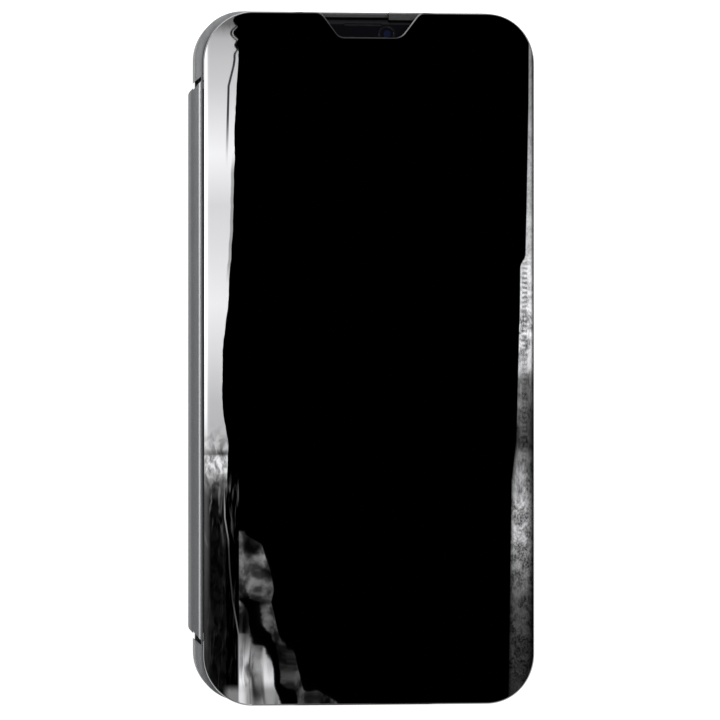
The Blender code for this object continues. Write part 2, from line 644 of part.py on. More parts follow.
def make_camera_ring():
    low = HANDSET_BOTTOM - CAMERA_BUMP
    high = HANDSET_BOTTOM + GLASS - 0.1 * MM
    length = 2 * CAMERA_PITCH + 1.8 * MM
    ring = tiers(
        "camera_ring", CAMERA_RING_WIDTH, length, CAMERA_RING_WIDTH / 2 - 0.1 * MM,
        ((0.2 * MM, low), (0.0, low + 0.2 * MM), (0.0, high)), FRAME_BLACK, 4)
    wall = 0.8 * MM
    inside = slab(
        "cut_camera_ring", CAMERA_RING_WIDTH - 2 * wall, length - 2 * wall,
        CAMERA_RING_WIDTH / 2 - wall - 0.1 * MM, low - OVERCUT, high + OVERCUT, FRAME_BLACK, 4)
    return cut(in_handset(ring, CAMERA_X, CAMERA_Y), in_handset(inside, CAMERA_X, CAMERA_Y))


def make_camera_glass():
    low = HANDSET_BOTTOM - CAMERA_BUMP + 0.1 * MM
    wall = 0.9 * MM
    glass = slab(
        "camera_glass", CAMERA_RING_WIDTH - 2 * wall, 2 * CAMERA_PITCH + 1.8 * MM - 2 * wall,
        CAMERA_RING_WIDTH / 2 - wall - 0.1 * MM, low, low + 0.5 * MM, LENS_GLASS, 4)
    return in_handset(glass, CAMERA_X, CAMERA_Y)


def make_flash_window():
    low = HANDSET_BOTTOM - 0.1 * MM
    window = barrel("flash_window", ((FLASH_SIZE, low), (FLASH_SIZE, low + 0.8 * MM)), CARD_WHITE)
    return in_handset(window, CAMERA_X, FLASH_Y)


# ---------------------------------------------------------------- handset: inside


def make_display():
    display = slab(
        "display_panel", HANDSET_WIDTH - 3.8 * MM, HANDSET_LENGTH - 3.8 * MM, HANDSET_CORNER - 1.9 * MM,
        DISPLAY_TOP - DISPLAY, DISPLAY_TOP, DISPLAY_BLACK, 4)
    notch = slab(
        "cut_display_notch", 30.0 * MM, 15.0 * MM, 2.0 * MM, PLATE_TOP - OVERCUT, DISPLAY_TOP + OVERCUT,
        DISPLAY_BLACK)
    in_handset(notch, 0.0, HANDSET_LENGTH / 2 - 1.0 * MM)
    return cut(in_handset(display), notch)


def make_battery():
    battery = tiers(
        "battery", BATTERY_WIDTH, BATTERY_LENGTH, 1.5 * MM,
        ((0.5 * MM, BAY_BOTTOM + 0.1 * MM), (0.0, BAY_BOTTOM + 0.5 * MM), (0.0, BOARD_TOP - 0.4 * MM),
         (0.5 * MM, BOARD_TOP)),
        BATTERY_BLACK, 2)
    return in_handset(battery, BATTERY_X, BATTERY_Y)


def make_battery_flex():
    length = MAIN_BOARD_BOTTOM - BATTERY_TOP_Y + 4.0 * MM
    flex = slab(
        "battery_flex", 8.0 * MM, length, 0.5 * MM, BOARD_BOTTOM - SEATED - FLEX_THICKNESS,
        BOARD_BOTTOM - SEATED, FLEX_AMBER, 1)
    return in_handset(flex, -2.0 * MM, BATTERY_TOP_Y + SEATED + length / 2)


def make_main_board(screw_spots):
    outline = (
        (MAIN_BOARD_LEFT, MAIN_BOARD_BOTTOM), (MAIN_BOARD_RIGHT, MAIN_BOARD_BOTTOM),
        (MAIN_BOARD_RIGHT, CAMERA_BAY_BOTTOM), (CAMERA_BAY_LEFT, CAMERA_BAY_BOTTOM),
        (CAMERA_BAY_LEFT, MAIN_BOARD_TOP), (MAIN_BOARD_LEFT, MAIN_BOARD_TOP),
    )
    board = in_handset(prism("main_board", outline, BOARD_BOTTOM, BOARD_TOP, BOARD_BLUE))
    return cut(board, *board_screw_holes("main", screw_spots))


def make_sub_board(screw_spots):
    low = BAY_BOTTOM_Y + 0.85 * MM
    left = MAIN_BOARD_LEFT
    port = USB_WIDTH / 2 + 0.4 * MM
    port_top = PORT_DEPTH_Y + USB_DEPTH + 0.5 * MM
    outline = (
        (left, low + 6.5 * MM), (left + 6.5 * MM, low), (-port, low), (-port, port_top),
        (port, port_top), (port, low), (SUB_BOARD_RIGHT, low), (SUB_BOARD_RIGHT, SUB_BOARD_TOP),
        (left, SUB_BOARD_TOP),
    )
    board = in_handset(prism("sub_board", outline, BOARD_BOTTOM, BOARD_TOP, BOARD_BLUE))
    return cut(board, *board_screw_holes("sub", screw_spots))


def board_screw_holes(name, screw_spots):
    holes = []
    size = SCREW_SHANK + 0.4 * MM
    for number, (x, y) in enumerate(screw_spots, 1):
        hole = barrel(
            f"cut_{name}_board_{number}", ((size, BOARD_BOTTOM - OVERCUT), (size, BOARD_TOP + OVERCUT)),
            BOARD_BLUE, 2)
        holes.append(in_handset(hole, x, y))
    return holes


def make_screw(number, x, y):
    top = BOARD_BOTTOM - GLUED
    screw = barrel(
        f"board_screw_{number}",
        ((SCREW_HEAD, top - 0.5 * MM), (SCREW_HEAD, top), (SCREW_SHANK, top),
         (SCREW_SHANK, PLATE_TOP - 0.1 * MM)),
        STEEL, 2)
    return in_handset(screw, x, y)


def make_shield(name, width, length, x, y):
    """A folded can over the chips: a tray open towards the board."""
    high = BOARD_BOTTOM - GLUED
    low = high - SHIELD_HEIGHT
    can = slab(name, width, length, 0.6 * MM, low, high, STEEL, 1)
    hollow = slab(
        f"cut_{name}", width - 2 * SHIELD_WALL, length - 2 * SHIELD_WALL, 0.4 * MM, low + SHIELD_WALL,
        high + OVERCUT, STEEL, 1)
    return cut(in_handset(can, x, y), in_handset(hollow, x, y))


def make_interconnect_flex():
    """The ribbon that joins the boards: beside the battery, then across under its end."""
    half = FLEX_WIDTH / 2
    turn_y = BATTERY_BOTTOM_Y - 1.0 * MM
    low_y = turn_y - FLEX_WIDTH
    end_x = SUB_BOARD_RIGHT - 6.0 * MM
    tab_y = SUB_BOARD_TOP - 4.0 * MM
    outline = (
        (FLEX_X + half, MAIN_BOARD_BOTTOM + 4.0 * MM), (FLEX_X - half, MAIN_BOARD_BOTTOM + 4.0 * MM),
        (FLEX_X - half, turn_y), (end_x - FLEX_WIDTH, turn_y), (end_x - FLEX_WIDTH, tab_y),
        (end_x, tab_y), (end_x, low_y), (FLEX_X + half, low_y),
    )
    high = BOARD_BOTTOM - SEATED
    return in_handset(prism("interconnect_flex", outline, high - FLEX_THICKNESS, high, FLEX_AMBER))


def make_side_key_flex():
    low = POWER_Y - POWER_LENGTH / 2 - 2.0 * MM
    high = VOLUME_Y + VOLUME_LENGTH / 2 + 1.0 * MM
    flex = slab("side_key_flex", 2.6 * MM, high - low, 0.5 * MM, 0.0, 0.3 * MM, FLEX_AMBER, 1)
    return in_handset(flex, KEY_FLANGE_X - 0.95 * MM, (low + high) / 2, PORT_LEVEL, ALONG_X)


def make_rear_camera(name, side):
    low = HANDSET_BOTTOM + 0.1 * MM
    shoulder = FRAME_BOTTOM + 0.2 * MM
    size = CAMERA_BODY
    camera = tower(
        name,
        ((CAMERA_BARREL, CAMERA_BARREL, CAMERA_BARREL / 2, low),
         (CAMERA_BARREL, CAMERA_BARREL, CAMERA_BARREL / 2, shoulder),
         (size, size, 0.8 * MM, shoulder), (size, size, 0.8 * MM, BOARD_TOP)),
        MODULE_BLACK)
    return in_handset(camera, CAMERA_X, CAMERA_Y + side * CAMERA_PITCH / 2)


def make_flash_led():
    led = slab(
        "flash_led", 2.2 * MM, 2.2 * MM, 0.2 * MM, BOARD_BOTTOM - GLUED - 0.6 * MM, BOARD_BOTTOM - GLUED,
        CARD_WHITE, 1)
    return in_handset(led, CAMERA_X, FLASH_Y)


def make_front_camera():
    size = FRONT_CAMERA_BODY
    lens = 3.6 * MM
    camera = tower(
        "front_camera",
        ((size, size, 0.5 * MM, PLATE_BOTTOM - 2.6 * MM), (size, size, 0.5 * MM, PLATE_BOTTOM - SEATED),
         (lens, lens, lens / 2, PLATE_BOTTOM - SEATED), (lens, lens, lens / 2, DISPLAY_TOP)),
        MODULE_BLACK)
    return in_handset(camera, FRONT_CAMERA_X, FRONT_CAMERA_Y)


def make_earpiece():
    earpiece = slab(
        "earpiece", 12.0 * MM, 5.0 * MM, 1.0 * MM, PLATE_BOTTOM - 2.2 * MM, PLATE_BOTTOM - SEATED,
        MODULE_BLACK, 2)
    return in_handset(earpiece, EARPIECE_X, STRIP_Y)


def make_loudspeaker():
    left = SUB_BOARD_RIGHT + 1.0 * MM
    right = BAY_WIDTH / 2 - 4.2 * MM
    low = BAY_BOTTOM_Y + 0.6 * MM
    box = slab(
        "loudspeaker", right - left, SUB_BOARD_TOP - 1.0 * MM - low, 5.0 * MM, BAY_BOTTOM + 0.1 * MM,
        BOARD_TOP, MODULE_BLACK)
    return in_handset(box, (left + right) / 2, (SUB_BOARD_TOP - 1.0 * MM + low) / 2)


def make_microphone():
    high = BOARD_BOTTOM - GLUED
    can = slab("bottom_microphone", 3.5 * MM, 2.6 * MM, 0.3 * MM, high - 1.0 * MM, high, STEEL, 1)
    return in_handset(can, SUB_BOARD_RIGHT - 2.6 * MM, BAY_BOTTOM_Y + 3.6 * MM)


def make_vibration_motor():
    can = barrel("vibration_motor", ((MOTOR_DIAMETER, 0.0), (MOTOR_DIAMETER, MOTOR_LENGTH)), STEEL)
    level = PLATE_BOTTOM - SEATED - MOTOR_DIAMETER / 2
    in_handset(can, MOTOR_X - MOTOR_LENGTH / 2, STRIP_Y, level, ALONG_X)
    bore = barrel(
        "cut_motor_bore", ((1.1 * MM, MOTOR_LENGTH - 2.4 * MM), (1.1 * MM, MOTOR_LENGTH + OVERCUT)), STEEL)
    in_handset(bore, MOTOR_X - MOTOR_LENGTH / 2, STRIP_Y, level, ALONG_X)
    return cut(can, bore)


def make_vibration_weight():
    """The half-round weight with its shaft, which runs into the motor's bore."""
    radius = MOTOR_DIAMETER / 2 - 0.1 * MM
    steps = 8
    turns = [math.pi * step / steps - QUARTER for step in range(steps + 1)]
    half_round = [(radius * math.cos(turn), radius * math.sin(turn)) for turn in turns]
    outline = half_round + [(-SHAFT, SHAFT), (-SHAFT, -SHAFT)]
    weight = prism("vibration_weight", outline, 0.0, WEIGHT_LENGTH, TUNGSTEN)
    shaft = barrel("join_motor_shaft", ((SHAFT, -2.2 * MM), (SHAFT, 0.6 * MM)), TUNGSTEN, 2)
    level = PLATE_BOTTOM - SEATED - MOTOR_DIAMETER / 2
    for piece in (weight, shaft):
        in_handset(piece, MOTOR_X + MOTOR_LENGTH / 2 + LOOSE, STRIP_Y, level, ALONG_X)
    return combine(weight, shaft, "UNION")


def make_usb_port():
    shell = slab(
        "usb_port", USB_WIDTH, USB_HEIGHT, USB_HEIGHT / 2 - 0.05 * MM, 0.0, USB_DEPTH, STEEL, 4)
    wall = 0.3 * MM
    mouth = slab(
        "cut_usb_mouth", USB_WIDTH - 2 * wall, USB_HEIGHT - 2 * wall, USB_HEIGHT / 2 - wall - 0.05 * MM,
        -OVERCUT, USB_DEPTH - 0.4 * MM, STEEL, 4)
    for piece in (shell, mouth):
        in_handset(piece, 0.0, PORT_DEPTH_Y, PORT_LEVEL, ALONG_Y)
    return cut(shell, mouth)


def make_usb_tongue():
    tongue = slab(
        "usb_tongue", 6.7 * MM, 0.7 * MM, 0.3 * MM, 1.2 * MM, USB_DEPTH - 0.45 * MM, MODULE_BLACK, 1)
    return in_handset(tongue, 0.0, PORT_DEPTH_Y, PORT_LEVEL, ALONG_Y)


def make_sim_tray():
    """The tray: a plate with the card's recess, behind a head that closes the slot."""
    head_depth = 1.2 * MM
    head = slab(
        "join_tray_head", TRAY_WIDTH + 2.3 * MM, 2.1 * MM, 1.0 * MM, 0.0, head_depth, FRAME_BLACK, 3)
    in_handset(head, TRAY_X, -HANDSET_LENGTH / 2, PORT_LEVEL, ALONG_Y)
    plate_y = -HANDSET_LENGTH / 2 + 0.6 * MM + TRAY_LENGTH / 2
    plate = slab(
        "sim_tray", TRAY_WIDTH, TRAY_LENGTH, 0.8 * MM, PORT_LEVEL - 0.5 * MM, PORT_LEVEL + 0.5 * MM,
        FRAME_BLACK, 2)
    in_handset(plate, TRAY_X, plate_y)
    recess = slab(
        "cut_card_recess", CARD_LENGTH + 0.2 * MM, CARD_WIDTH + 0.2 * MM, 0.4 * MM,
        PORT_LEVEL - 0.3 * MM, PORT_LEVEL + 0.5 * MM + OVERCUT, FRAME_BLACK, 1)
    in_handset(recess, TRAY_X, CARD_Y)
    combine(plate, head, "UNION")
    return cut(plate, recess)


def make_sim_card():
    card = slab(
        "sim_card", CARD_LENGTH, CARD_WIDTH, 0.4 * MM, PORT_LEVEL - 0.2 * MM, PORT_LEVEL + 0.45 * MM,
        CARD_WHITE, 1)
    return in_handset(card, TRAY_X, CARD_Y)


def make_sim_reader():
    """The reader's folded cage, open towards the slot in the bottom edge."""
    low_y = BAY_BOTTOM_Y + 0.25 * MM
    length = TRAY_LENGTH + 1.0 * MM
    width = TRAY_WIDTH + 1.6 * MM
    half = 0.95 * MM
    cage = slab(
        "sim_reader", width, length, 0.4 * MM, PORT_LEVEL - half, PORT_LEVEL + half, STEEL, 1)
    in_handset(cage, TRAY_X, low_y + length / 2)
    wall = 0.3 * MM
    mouth = slab(
        "cut_sim_mouth", width - 2 * wall, length + OVERCUT, 0.2 * MM, PORT_LEVEL - half + 0.25 * MM,
        PORT_LEVEL + half - 0.25 * MM, STEEL, 1)
    in_handset(mouth, TRAY_X, low_y + (length - OVERCUT) / 2 - 2 * wall)
    return cut(cage, mouth)


# ---------------------------------------------------------------- assembly


def build():
    left = MAIN_BOARD_LEFT + SCREW_INSET
    right = CAMERA_BAY_LEFT - SCREW_INSET
    top = MAIN_BOARD_TOP - SCREW_INSET
    low = MAIN_BOARD_BOTTOM + SCREW_INSET
    main_spots = ((left, top), (left, low), (right, top), (right, low))
    sub_spots = (
        (left, SUB_BOARD_TOP - SCREW_INSET), (SUB_BOARD_RIGHT - SCREW_INSET, SUB_BOARD_TOP - 9.0 * MM))
    make_back_shell()
    make_back_fold()
    spine_axis = axis_at("spine_fold_axis", SPINE_AXIS)
    cover_axis = axis_at("cover_fold_axis", COVER_AXIS, spine_axis)
    for piece in (make_spine_cover(), make_spine_stiffener(), make_front_fold()):
        hang(piece, spine_axis)
    for piece in (make_mirror_panel(), make_liner()):
        hang(piece, cover_axis)
    for helper in ("trim_cover", "cut_panel_notch", "cut_liner_notch"):
        hang(bpy.data.objects[helper], cover_axis)
    make_cover_glass()
    make_back_glass()
    make_frame(main_spots + sub_spots)
    make_key("power_button", POWER_LENGTH, POWER_Y)
    make_key("volume_rocker", VOLUME_LENGTH, VOLUME_Y)
    make_camera_ring()
    make_camera_glass()
    make_flash_window()
    make_display()
    make_battery()
    make_battery_flex()
    make_main_board(main_spots)
    make_sub_board(sub_spots)
    for number, (x, y) in enumerate(main_spots + sub_spots, 1):
        make_screw(number, x, y)
    board_middle = (MAIN_BOARD_BOTTOM + MAIN_BOARD_TOP) / 2
    make_shield("radio_shield", 14.0 * MM, 16.0 * MM, MAIN_BOARD_LEFT + 8.2 * MM, board_middle)
    make_shield("processor_shield", 24.0 * MM, 20.0 * MM, MAIN_BOARD_LEFT + 29.0 * MM, board_middle)
    make_interconnect_flex()
    make_side_key_flex()
    make_rear_camera("rear_camera_main", 1)
    make_rear_camera("rear_camera_wide", -1)
    make_flash_led()
    make_front_camera()
    make_earpiece()
    make_loudspeaker()
    make_microphone()
    make_vibration_motor()
    make_vibration_weight()
    make_usb_port()
    make_usb_tongue()
    make_sim_tray()
    make_sim_card()
    make_sim_reader()


build()
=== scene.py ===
import math

import bmesh
import bpy
import numpy as np
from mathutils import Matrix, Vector, geometry


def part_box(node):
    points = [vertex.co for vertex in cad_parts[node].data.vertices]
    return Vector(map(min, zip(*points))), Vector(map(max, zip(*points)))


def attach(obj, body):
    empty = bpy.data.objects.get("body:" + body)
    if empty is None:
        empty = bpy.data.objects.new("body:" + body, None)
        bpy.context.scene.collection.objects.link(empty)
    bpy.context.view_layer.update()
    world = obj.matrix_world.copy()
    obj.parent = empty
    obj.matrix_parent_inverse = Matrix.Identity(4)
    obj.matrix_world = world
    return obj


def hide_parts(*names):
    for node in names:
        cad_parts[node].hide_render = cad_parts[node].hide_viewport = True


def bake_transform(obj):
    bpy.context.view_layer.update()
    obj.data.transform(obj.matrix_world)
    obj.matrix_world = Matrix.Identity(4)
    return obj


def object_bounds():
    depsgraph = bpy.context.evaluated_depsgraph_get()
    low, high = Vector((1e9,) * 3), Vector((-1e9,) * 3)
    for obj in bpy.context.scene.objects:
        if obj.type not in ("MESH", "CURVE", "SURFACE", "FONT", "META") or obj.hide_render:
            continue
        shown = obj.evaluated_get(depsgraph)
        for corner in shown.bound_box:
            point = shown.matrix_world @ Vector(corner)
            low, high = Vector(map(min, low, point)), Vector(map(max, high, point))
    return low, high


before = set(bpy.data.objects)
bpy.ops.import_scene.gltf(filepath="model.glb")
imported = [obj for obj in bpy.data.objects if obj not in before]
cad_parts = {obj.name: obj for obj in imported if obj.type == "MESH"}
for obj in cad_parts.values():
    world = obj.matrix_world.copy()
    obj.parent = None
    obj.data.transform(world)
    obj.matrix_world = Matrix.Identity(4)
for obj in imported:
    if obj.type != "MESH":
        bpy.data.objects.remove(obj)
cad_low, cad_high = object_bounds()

# ---------------------------------------------------------------- handset: display and battery
# The display is a thin laminated stack on the frame's plate, and the battery is a foil pouch glued under it.
# Both are bought-in parts: matt black film on the display's back, and a heat-sealed laminate with a
# slightly wrinkled face on the cell.

mm = 0.001


def linear(colour):
    """A screen colour such as "8a8c90" as linear red, green, blue and alpha."""
    shares = [int(colour[i:i + 2], 16) / 255 for i in (0, 2, 4)]
    return (*[s / 12.92 if s <= 0.04045 else ((s + 0.055) / 1.055) ** 2.4 for s in shares], 1.0)


def add(tree, kind, settings=None, inputs=None):
    """One node, with its settings, and with a value or another node's output for each input."""
    made = tree.nodes.new(kind)
    for key, value in (settings or {}).items():
        setattr(made, key, value)
    for key, value in (inputs or {}).items():
        if isinstance(value, bpy.types.NodeSocket):
            tree.links.new(value, made.inputs[key])
        else:
            made.inputs[key].default_value = value
    return made


def tree_of(*values):
    """The node tree of the first of these values that is a node's socket."""
    return next(value.id_data for value in values if isinstance(value, bpy.types.NodeSocket))


def calc(operation, *values):
    """The result of one Math node."""
    inputs = dict(enumerate(values))
    return add(tree_of(*values), "ShaderNodeMath", {"operation": operation}, inputs).outputs[0]


def times(first, second):
    """One value multiplied by another."""
    return calc("MULTIPLY", first, second)


def plus(first, second):
    """One value added to another."""
    return calc("ADD", first, second)


def less(first, second):
    """One value with another taken from it."""
    return calc("SUBTRACT", first, second)


def apart(first, second):
    """How far one value is from another, either way."""
    return calc("ABSOLUTE", less(first, second))


def between(value, low, high, out_low=0.0, out_high=1.0):
    """The value eased from one range into another, and held at its ends."""
    eased = add(
        value.id_data, "ShaderNodeMapRange", {"interpolation_type": "SMOOTHSTEP"},
        {"Value": value, "From Min": low, "From Max": high, "To Min": out_low, "To Max": out_high})
    return eased.outputs["Result"]


def noise(point, size, detail=2.0, distortion=0.0):
    """Cloudy values from 0 to 1 with features of this size in millimetres."""
    made = add(
        point.id_data, "ShaderNodeTexNoise", None,
        {"Vector": point, "Scale": 1 / size, "Detail": detail, "Distortion": distortion})
    return made.outputs["Fac"]


def blended(factor, first, second):
    """A colour between two, each a screen colour such as "8a8c90" or another node's output."""
    ends = [linear(colour) if isinstance(colour, str) else colour for colour in (first, second)]
    made = add(
        factor.id_data, "ShaderNodeMix", {"data_type": "RGBA"}, {0: factor, 6: ends[0], 7: ends[1]})
    return made.outputs[2]


def finish_of(name, **settings):
    """A material with these shader settings: gives it, its shader and the point in millimetres."""
    made = bpy.data.materials.new(name)
    made.use_nodes = True
    tree = made.node_tree
    shader = tree.nodes["Principled BSDF"]
    for key, value in settings.items():
        shader.inputs[key.replace("_", " ")].default_value = value
    here = add(tree, "ShaderNodeTexCoord").outputs["Object"]
    point = add(tree, "ShaderNodeVectorMath", {"operation": "SCALE"}, {0: here, "Scale": 1 / mm})
    return made, shader, point.outputs[0]


def wire(shader, **values):
    """Leads each value to the shader's input of that name."""
    for key, value in values.items():
        value.id_data.links.new(value, shader.inputs[key.replace("_", " ")])


def raised(shader, height, depth):
    """Gives the surface a relief: height runs from 0 to 1 over this depth in millimetres."""
    relief = {"Height": height, "Strength": 1.0, "Distance": depth * mm}
    wire(shader, Normal=add(height.id_data, "ShaderNodeBump", None, relief).outputs["Normal"])


def textured(name, dark, light, patch, rough, grain, depth, **settings):
    """A finish whose shade drifts over patches, whose gloss varies, and whose face has a fine grain."""
    made, shader, point = finish_of(name, **settings)
    drift = noise(point, patch, 3.0)
    fine = noise(point, grain, 3.0)
    wire(shader, Base_Color=blended(drift, dark, light))
    wire(shader, Roughness=between(fine, 0.3, 0.7, *rough))
    raised(shader, fine, depth)
    return made


def dress(node, finish):
    """Gives a CAD piece its finish."""
    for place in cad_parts[node].material_slots:
        place.link = "OBJECT"
        place.material = finish


dress("display_panel", textured(
    "laminated_display_film", "07080a", "0d0e11", 9.0, (0.18, 0.3), 0.4, 0.004, Metallic=0.0, IOR=1.5))
dress("battery", textured(
    "heat_sealed_foil_pouch", "15161a", "24262b", 14.0, (0.38, 0.6), 1.6, 0.05, Metallic=0.3, IOR=1.5))

# ---------------------------------------------------------------- handset: boards and ribbons
# Two glass-fibre boards under a dark solder mask carry the electronics, held by six steel screws.
# Amber polyimide ribbons with copper tracks join them to each other, to the battery and to the side keys.


def board_finish():
    """Solder mask over a pattern of tracks and pads."""
    made, shader, point = finish_of("solder_masked_board", IOR=1.55)
    tree = made.node_tree
    cells = add(
        tree, "ShaderNodeTexVoronoi", {"feature": "F1", "distance": "CHEBYCHEV"},
        {"Vector": point, "Scale": 0.8, "Randomness": 0.75})
    tracks = add(
        tree, "ShaderNodeTexBrick", {"offset": 0.37},
        {"Vector": point, "Scale": 1.0, "Mortar Size": 0.08, "Brick Width": 1.7, "Row Height": 0.45})
    pads = between(cells.outputs["Distance"], 0.16, 0.2, 1.0, 0.0)
    lines = tracks.outputs["Fac"]
    mask = blended(lines, "0c2430", "18414f")
    colour = blended(pads, mask, "c9a35a")
    wire(shader, Base_Color=colour, Metallic=pads, Roughness=between(pads, 0.0, 1.0, 0.42, 0.28))
    raised(shader, plus(lines, pads), 0.02)
    return made


def ribbon_finish():
    """Polyimide film with copper tracks showing through along its length."""
    made, shader, point = finish_of("polyimide_film_over_copper", IOR=1.7)
    waves = add(
        made.node_tree, "ShaderNodeTexWave", {"bands_direction": "X", "wave_profile": "SIN"},
        {"Vector": point, "Scale": 0.9, "Distortion": 0.0})
    tracks = between(waves.outputs["Fac"], 0.45, 0.6)
    colour = blended(tracks, "7d4a12", "b06a24")
    wire(shader, Base_Color=colour, Roughness=between(noise(point, 2.0), 0.3, 0.7, 0.3, 0.45))
    raised(shader, tracks, 0.012)
    return made


board = board_finish()
for node in ("main_board", "sub_board"):
    dress(node, board)
ribbon = ribbon_finish()
for node in ("battery_flex", "interconnect_flex", "side_key_flex"):
    dress(node, ribbon)

# ---------------------------------------------------------------- handset: cans, modules and screws
# The shields are folded nickel-silver sheet soldered to the main board, and the card reader and the
# motor's can are stamped steel. The camera bodies, the earpiece and the speaker box are moulded in a
# black glass-filled polymer. The screws are turned steel with a passivated skin.

drawn_steel = textured(
    "rolled_nickel_silver", "8f9093", "b4b4b2", 5.0, (0.24, 0.38), 0.35, 0.004, Metallic=1.0, IOR=1.5)
for node in ("processor_shield", "radio_shield", "sim_reader", "vibration_motor", "bottom_microphone"):
    dress(node, drawn_steel)
turned_steel = textured(
    "passivated_screw_steel", "77787b", "a3a3a2", 1.2, (0.22, 0.34), 0.12, 0.003, Metallic=1.0, IOR=1.5)
for number in range(1, 7):
    dress(f"board_screw_{number}", turned_steel)
moulded_black = textured(
    "glass_filled_moulding", "0c0d0e", "17181a", 3.0, (0.42, 0.6), 0.18, 0.01, IOR=1.55)
for node in (
        "rear_camera_main", "rear_camera_wide", "front_camera", "earpiece", "loudspeaker", "usb_tongue"):
    dress(node, moulded_black)
dress("vibration_weight", textured(
    "sintered_tungsten", "55565a", "7b7b7d", 0.8, (0.38, 0.55), 0.1, 0.006, Metallic=1.0, IOR=1.5))
dress("sim_card", textured(
    "printed_card_plastic", "cfcfcc", "e2e2de", 4.0, (0.38, 0.5), 0.3, 0.004, IOR=1.5))
dress("flash_led", textured(
    "phosphor_resin", "cdbb62", "e6d88c", 0.6, (0.4, 0.6), 0.08, 0.006, IOR=1.5))

# ---------------------------------------------------------------- handset: frame, tray and port
# The frame is one machined and bead-blasted aluminium part, anodised dark grey, with narrow plastic
# breaks across it for the antennas. The card tray is machined from the same bar.


def split(point):
    """The point's X, Y and Z, each by itself."""
    return add(point.id_data, "ShaderNodeSeparateXYZ", None, {"Vector": point}).outputs


def anodised_finish():
    """Bead-blasted anodised metal with plastic antenna breaks across the frame."""
    made, shader, point = finish_of("bead_blasted_anodising", IOR=1.5)
    blast = noise(point, 0.12, 4.0)
    drift = noise(point, 18.0)
    low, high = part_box("phone_frame")
    stripes = []
    for edge, inset in ((low.y, 11.5), (high.y, -11.5)):
        away = apart(split(point)["Y"], edge / mm + inset)
        stripes.append(between(away, 0.6, 0.68, 1.0, 0.0))
    breaks = calc("MAXIMUM", *stripes)
    metal = blended(drift, "2b2c2f", "3a3b3f")
    wire(shader, Base_Color=blended(breaks, metal, "1b1c1e"))
    wire(shader, Metallic=between(breaks, 0.0, 1.0, 1.0, 0.0))
    wire(shader, Roughness=between(blast, 0.3, 0.7, 0.3, 0.42))
    raised(shader, blast, 0.006)
    return made


anodised = anodised_finish()
dress("phone_frame", anodised)
dress("sim_tray", anodised)
dress("usb_port", drawn_steel)


def mesh_piece(name, body, smooth=35.0):
    """Turns a bmesh into an object of that name, with smooth faces and sharp edges past an angle."""
    bmesh.ops.recalc_face_normals(body, faces=body.faces)
    mesh = bpy.data.meshes.new(name)
    body.to_mesh(mesh)
    body.free()
    mesh.shade_smooth()
    mesh.set_sharp_from_angle(angle=math.radians(smooth))
    made = bpy.data.objects.new(name, mesh)
    bpy.context.scene.collection.objects.link(made)
    return made


def settle(piece, finish, body, slot, *nodes):
    """Gives a finished piece its material, its body and the CAD nodes it stands for; the slot is not used.
    """
    piece.data.materials.clear()
    piece.data.materials.append(finish)
    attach(piece, body)
    if nodes:
        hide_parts(*nodes)
    return piece


def applied(piece):
    """The piece with its modifiers worked into its mesh."""
    evaluated = piece.evaluated_get(bpy.context.evaluated_depsgraph_get())
    mesh = bpy.data.meshes.new_from_object(evaluated)
    piece.modifiers.clear()
    piece.data = mesh
    return piece


def grown(name, group, **sizes):
    """Runs a Geometry Nodes group with these sizes and keeps the plain mesh that it makes."""
    holder = bpy.data.objects.new(name, bpy.data.meshes.new(name))
    bpy.context.scene.collection.objects.link(holder)
    modifier = holder.modifiers.new(name, "NODES")
    modifier.node_group = group
    for item in group.interface.items_tree:
        if item.item_type == "SOCKET" and item.in_out == "INPUT" and item.name in sizes:
            modifier[item.identifier] = sizes[item.name]
    applied(holder).data.name = name
    return holder


def contact_row_group(finish):
    """A row of gold-plated blades: Count blades of Size, Pitch apart along X, centred on Middle."""
    group = bpy.data.node_groups.new("contact_row", "GeometryNodeTree")
    for label, kind in (
            ("Count", "NodeSocketInt"), ("Pitch", "NodeSocketFloat"), ("Size", "NodeSocketVector"),
            ("Middle", "NodeSocketVector")):
        group.interface.new_socket(label, in_out="INPUT", socket_type=kind)
    group.interface.new_socket("Geometry", in_out="OUTPUT", socket_type="NodeSocketGeometry")
    given = add(group, "NodeGroupInput").outputs
    gaps = less(given["Count"], 1.0)
    back = times(times(gaps, given["Pitch"]), -0.5)
    shift = add(group, "ShaderNodeCombineXYZ", None, {"X": back})
    start = add(
        group, "ShaderNodeVectorMath", {"operation": "ADD"}, {0: given["Middle"], 1: shift.outputs[0]})
    step = add(group, "ShaderNodeCombineXYZ", None, {"X": given["Pitch"]})
    line = add(
        group, "GeometryNodeMeshLine", {"mode": "OFFSET"},
        {"Count": given["Count"], "Start Location": start.outputs[0], "Offset": step.outputs[0]})
    blade = add(group, "GeometryNodeMeshCube", None, {"Size": given["Size"]})
    copies = add(
        group, "GeometryNodeInstanceOnPoints", None,
        {"Points": line.outputs["Mesh"], "Instance": blade.outputs["Mesh"]})
    real = add(group, "GeometryNodeRealizeInstances", None, {"Geometry": copies.outputs[0]})
    coat = add(group, "GeometryNodeSetMaterial", None, {"Geometry": real.outputs[0], "Material": finish})
    add(group, "NodeGroupOutput", None, {"Geometry": coat.outputs[0]})
    return group


gold = textured("plated_contact_gold", "b98f3e", "d7b25c", 0.5, (0.2, 0.3), 0.05, 0.001, Metallic=1.0)
tongue_low, tongue_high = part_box("usb_tongue")
tongue = (tongue_low + tongue_high) / 2
contact_rows = contact_row_group(gold)
for side, level in (("upper", tongue_high.z + 0.02 * mm), ("lower", tongue_low.z - 0.02 * mm)):
    contacts = grown(
        f"port_contacts_{side}", contact_rows, Count=12, Pitch=0.5 * mm,
        Size=(0.25 * mm, 3.4 * mm, 0.04 * mm), Middle=(tongue.x, tongue_low.y + 2.2 * mm, level))
    settle(contacts, gold, "shell_and_handset", "stainless_steel")

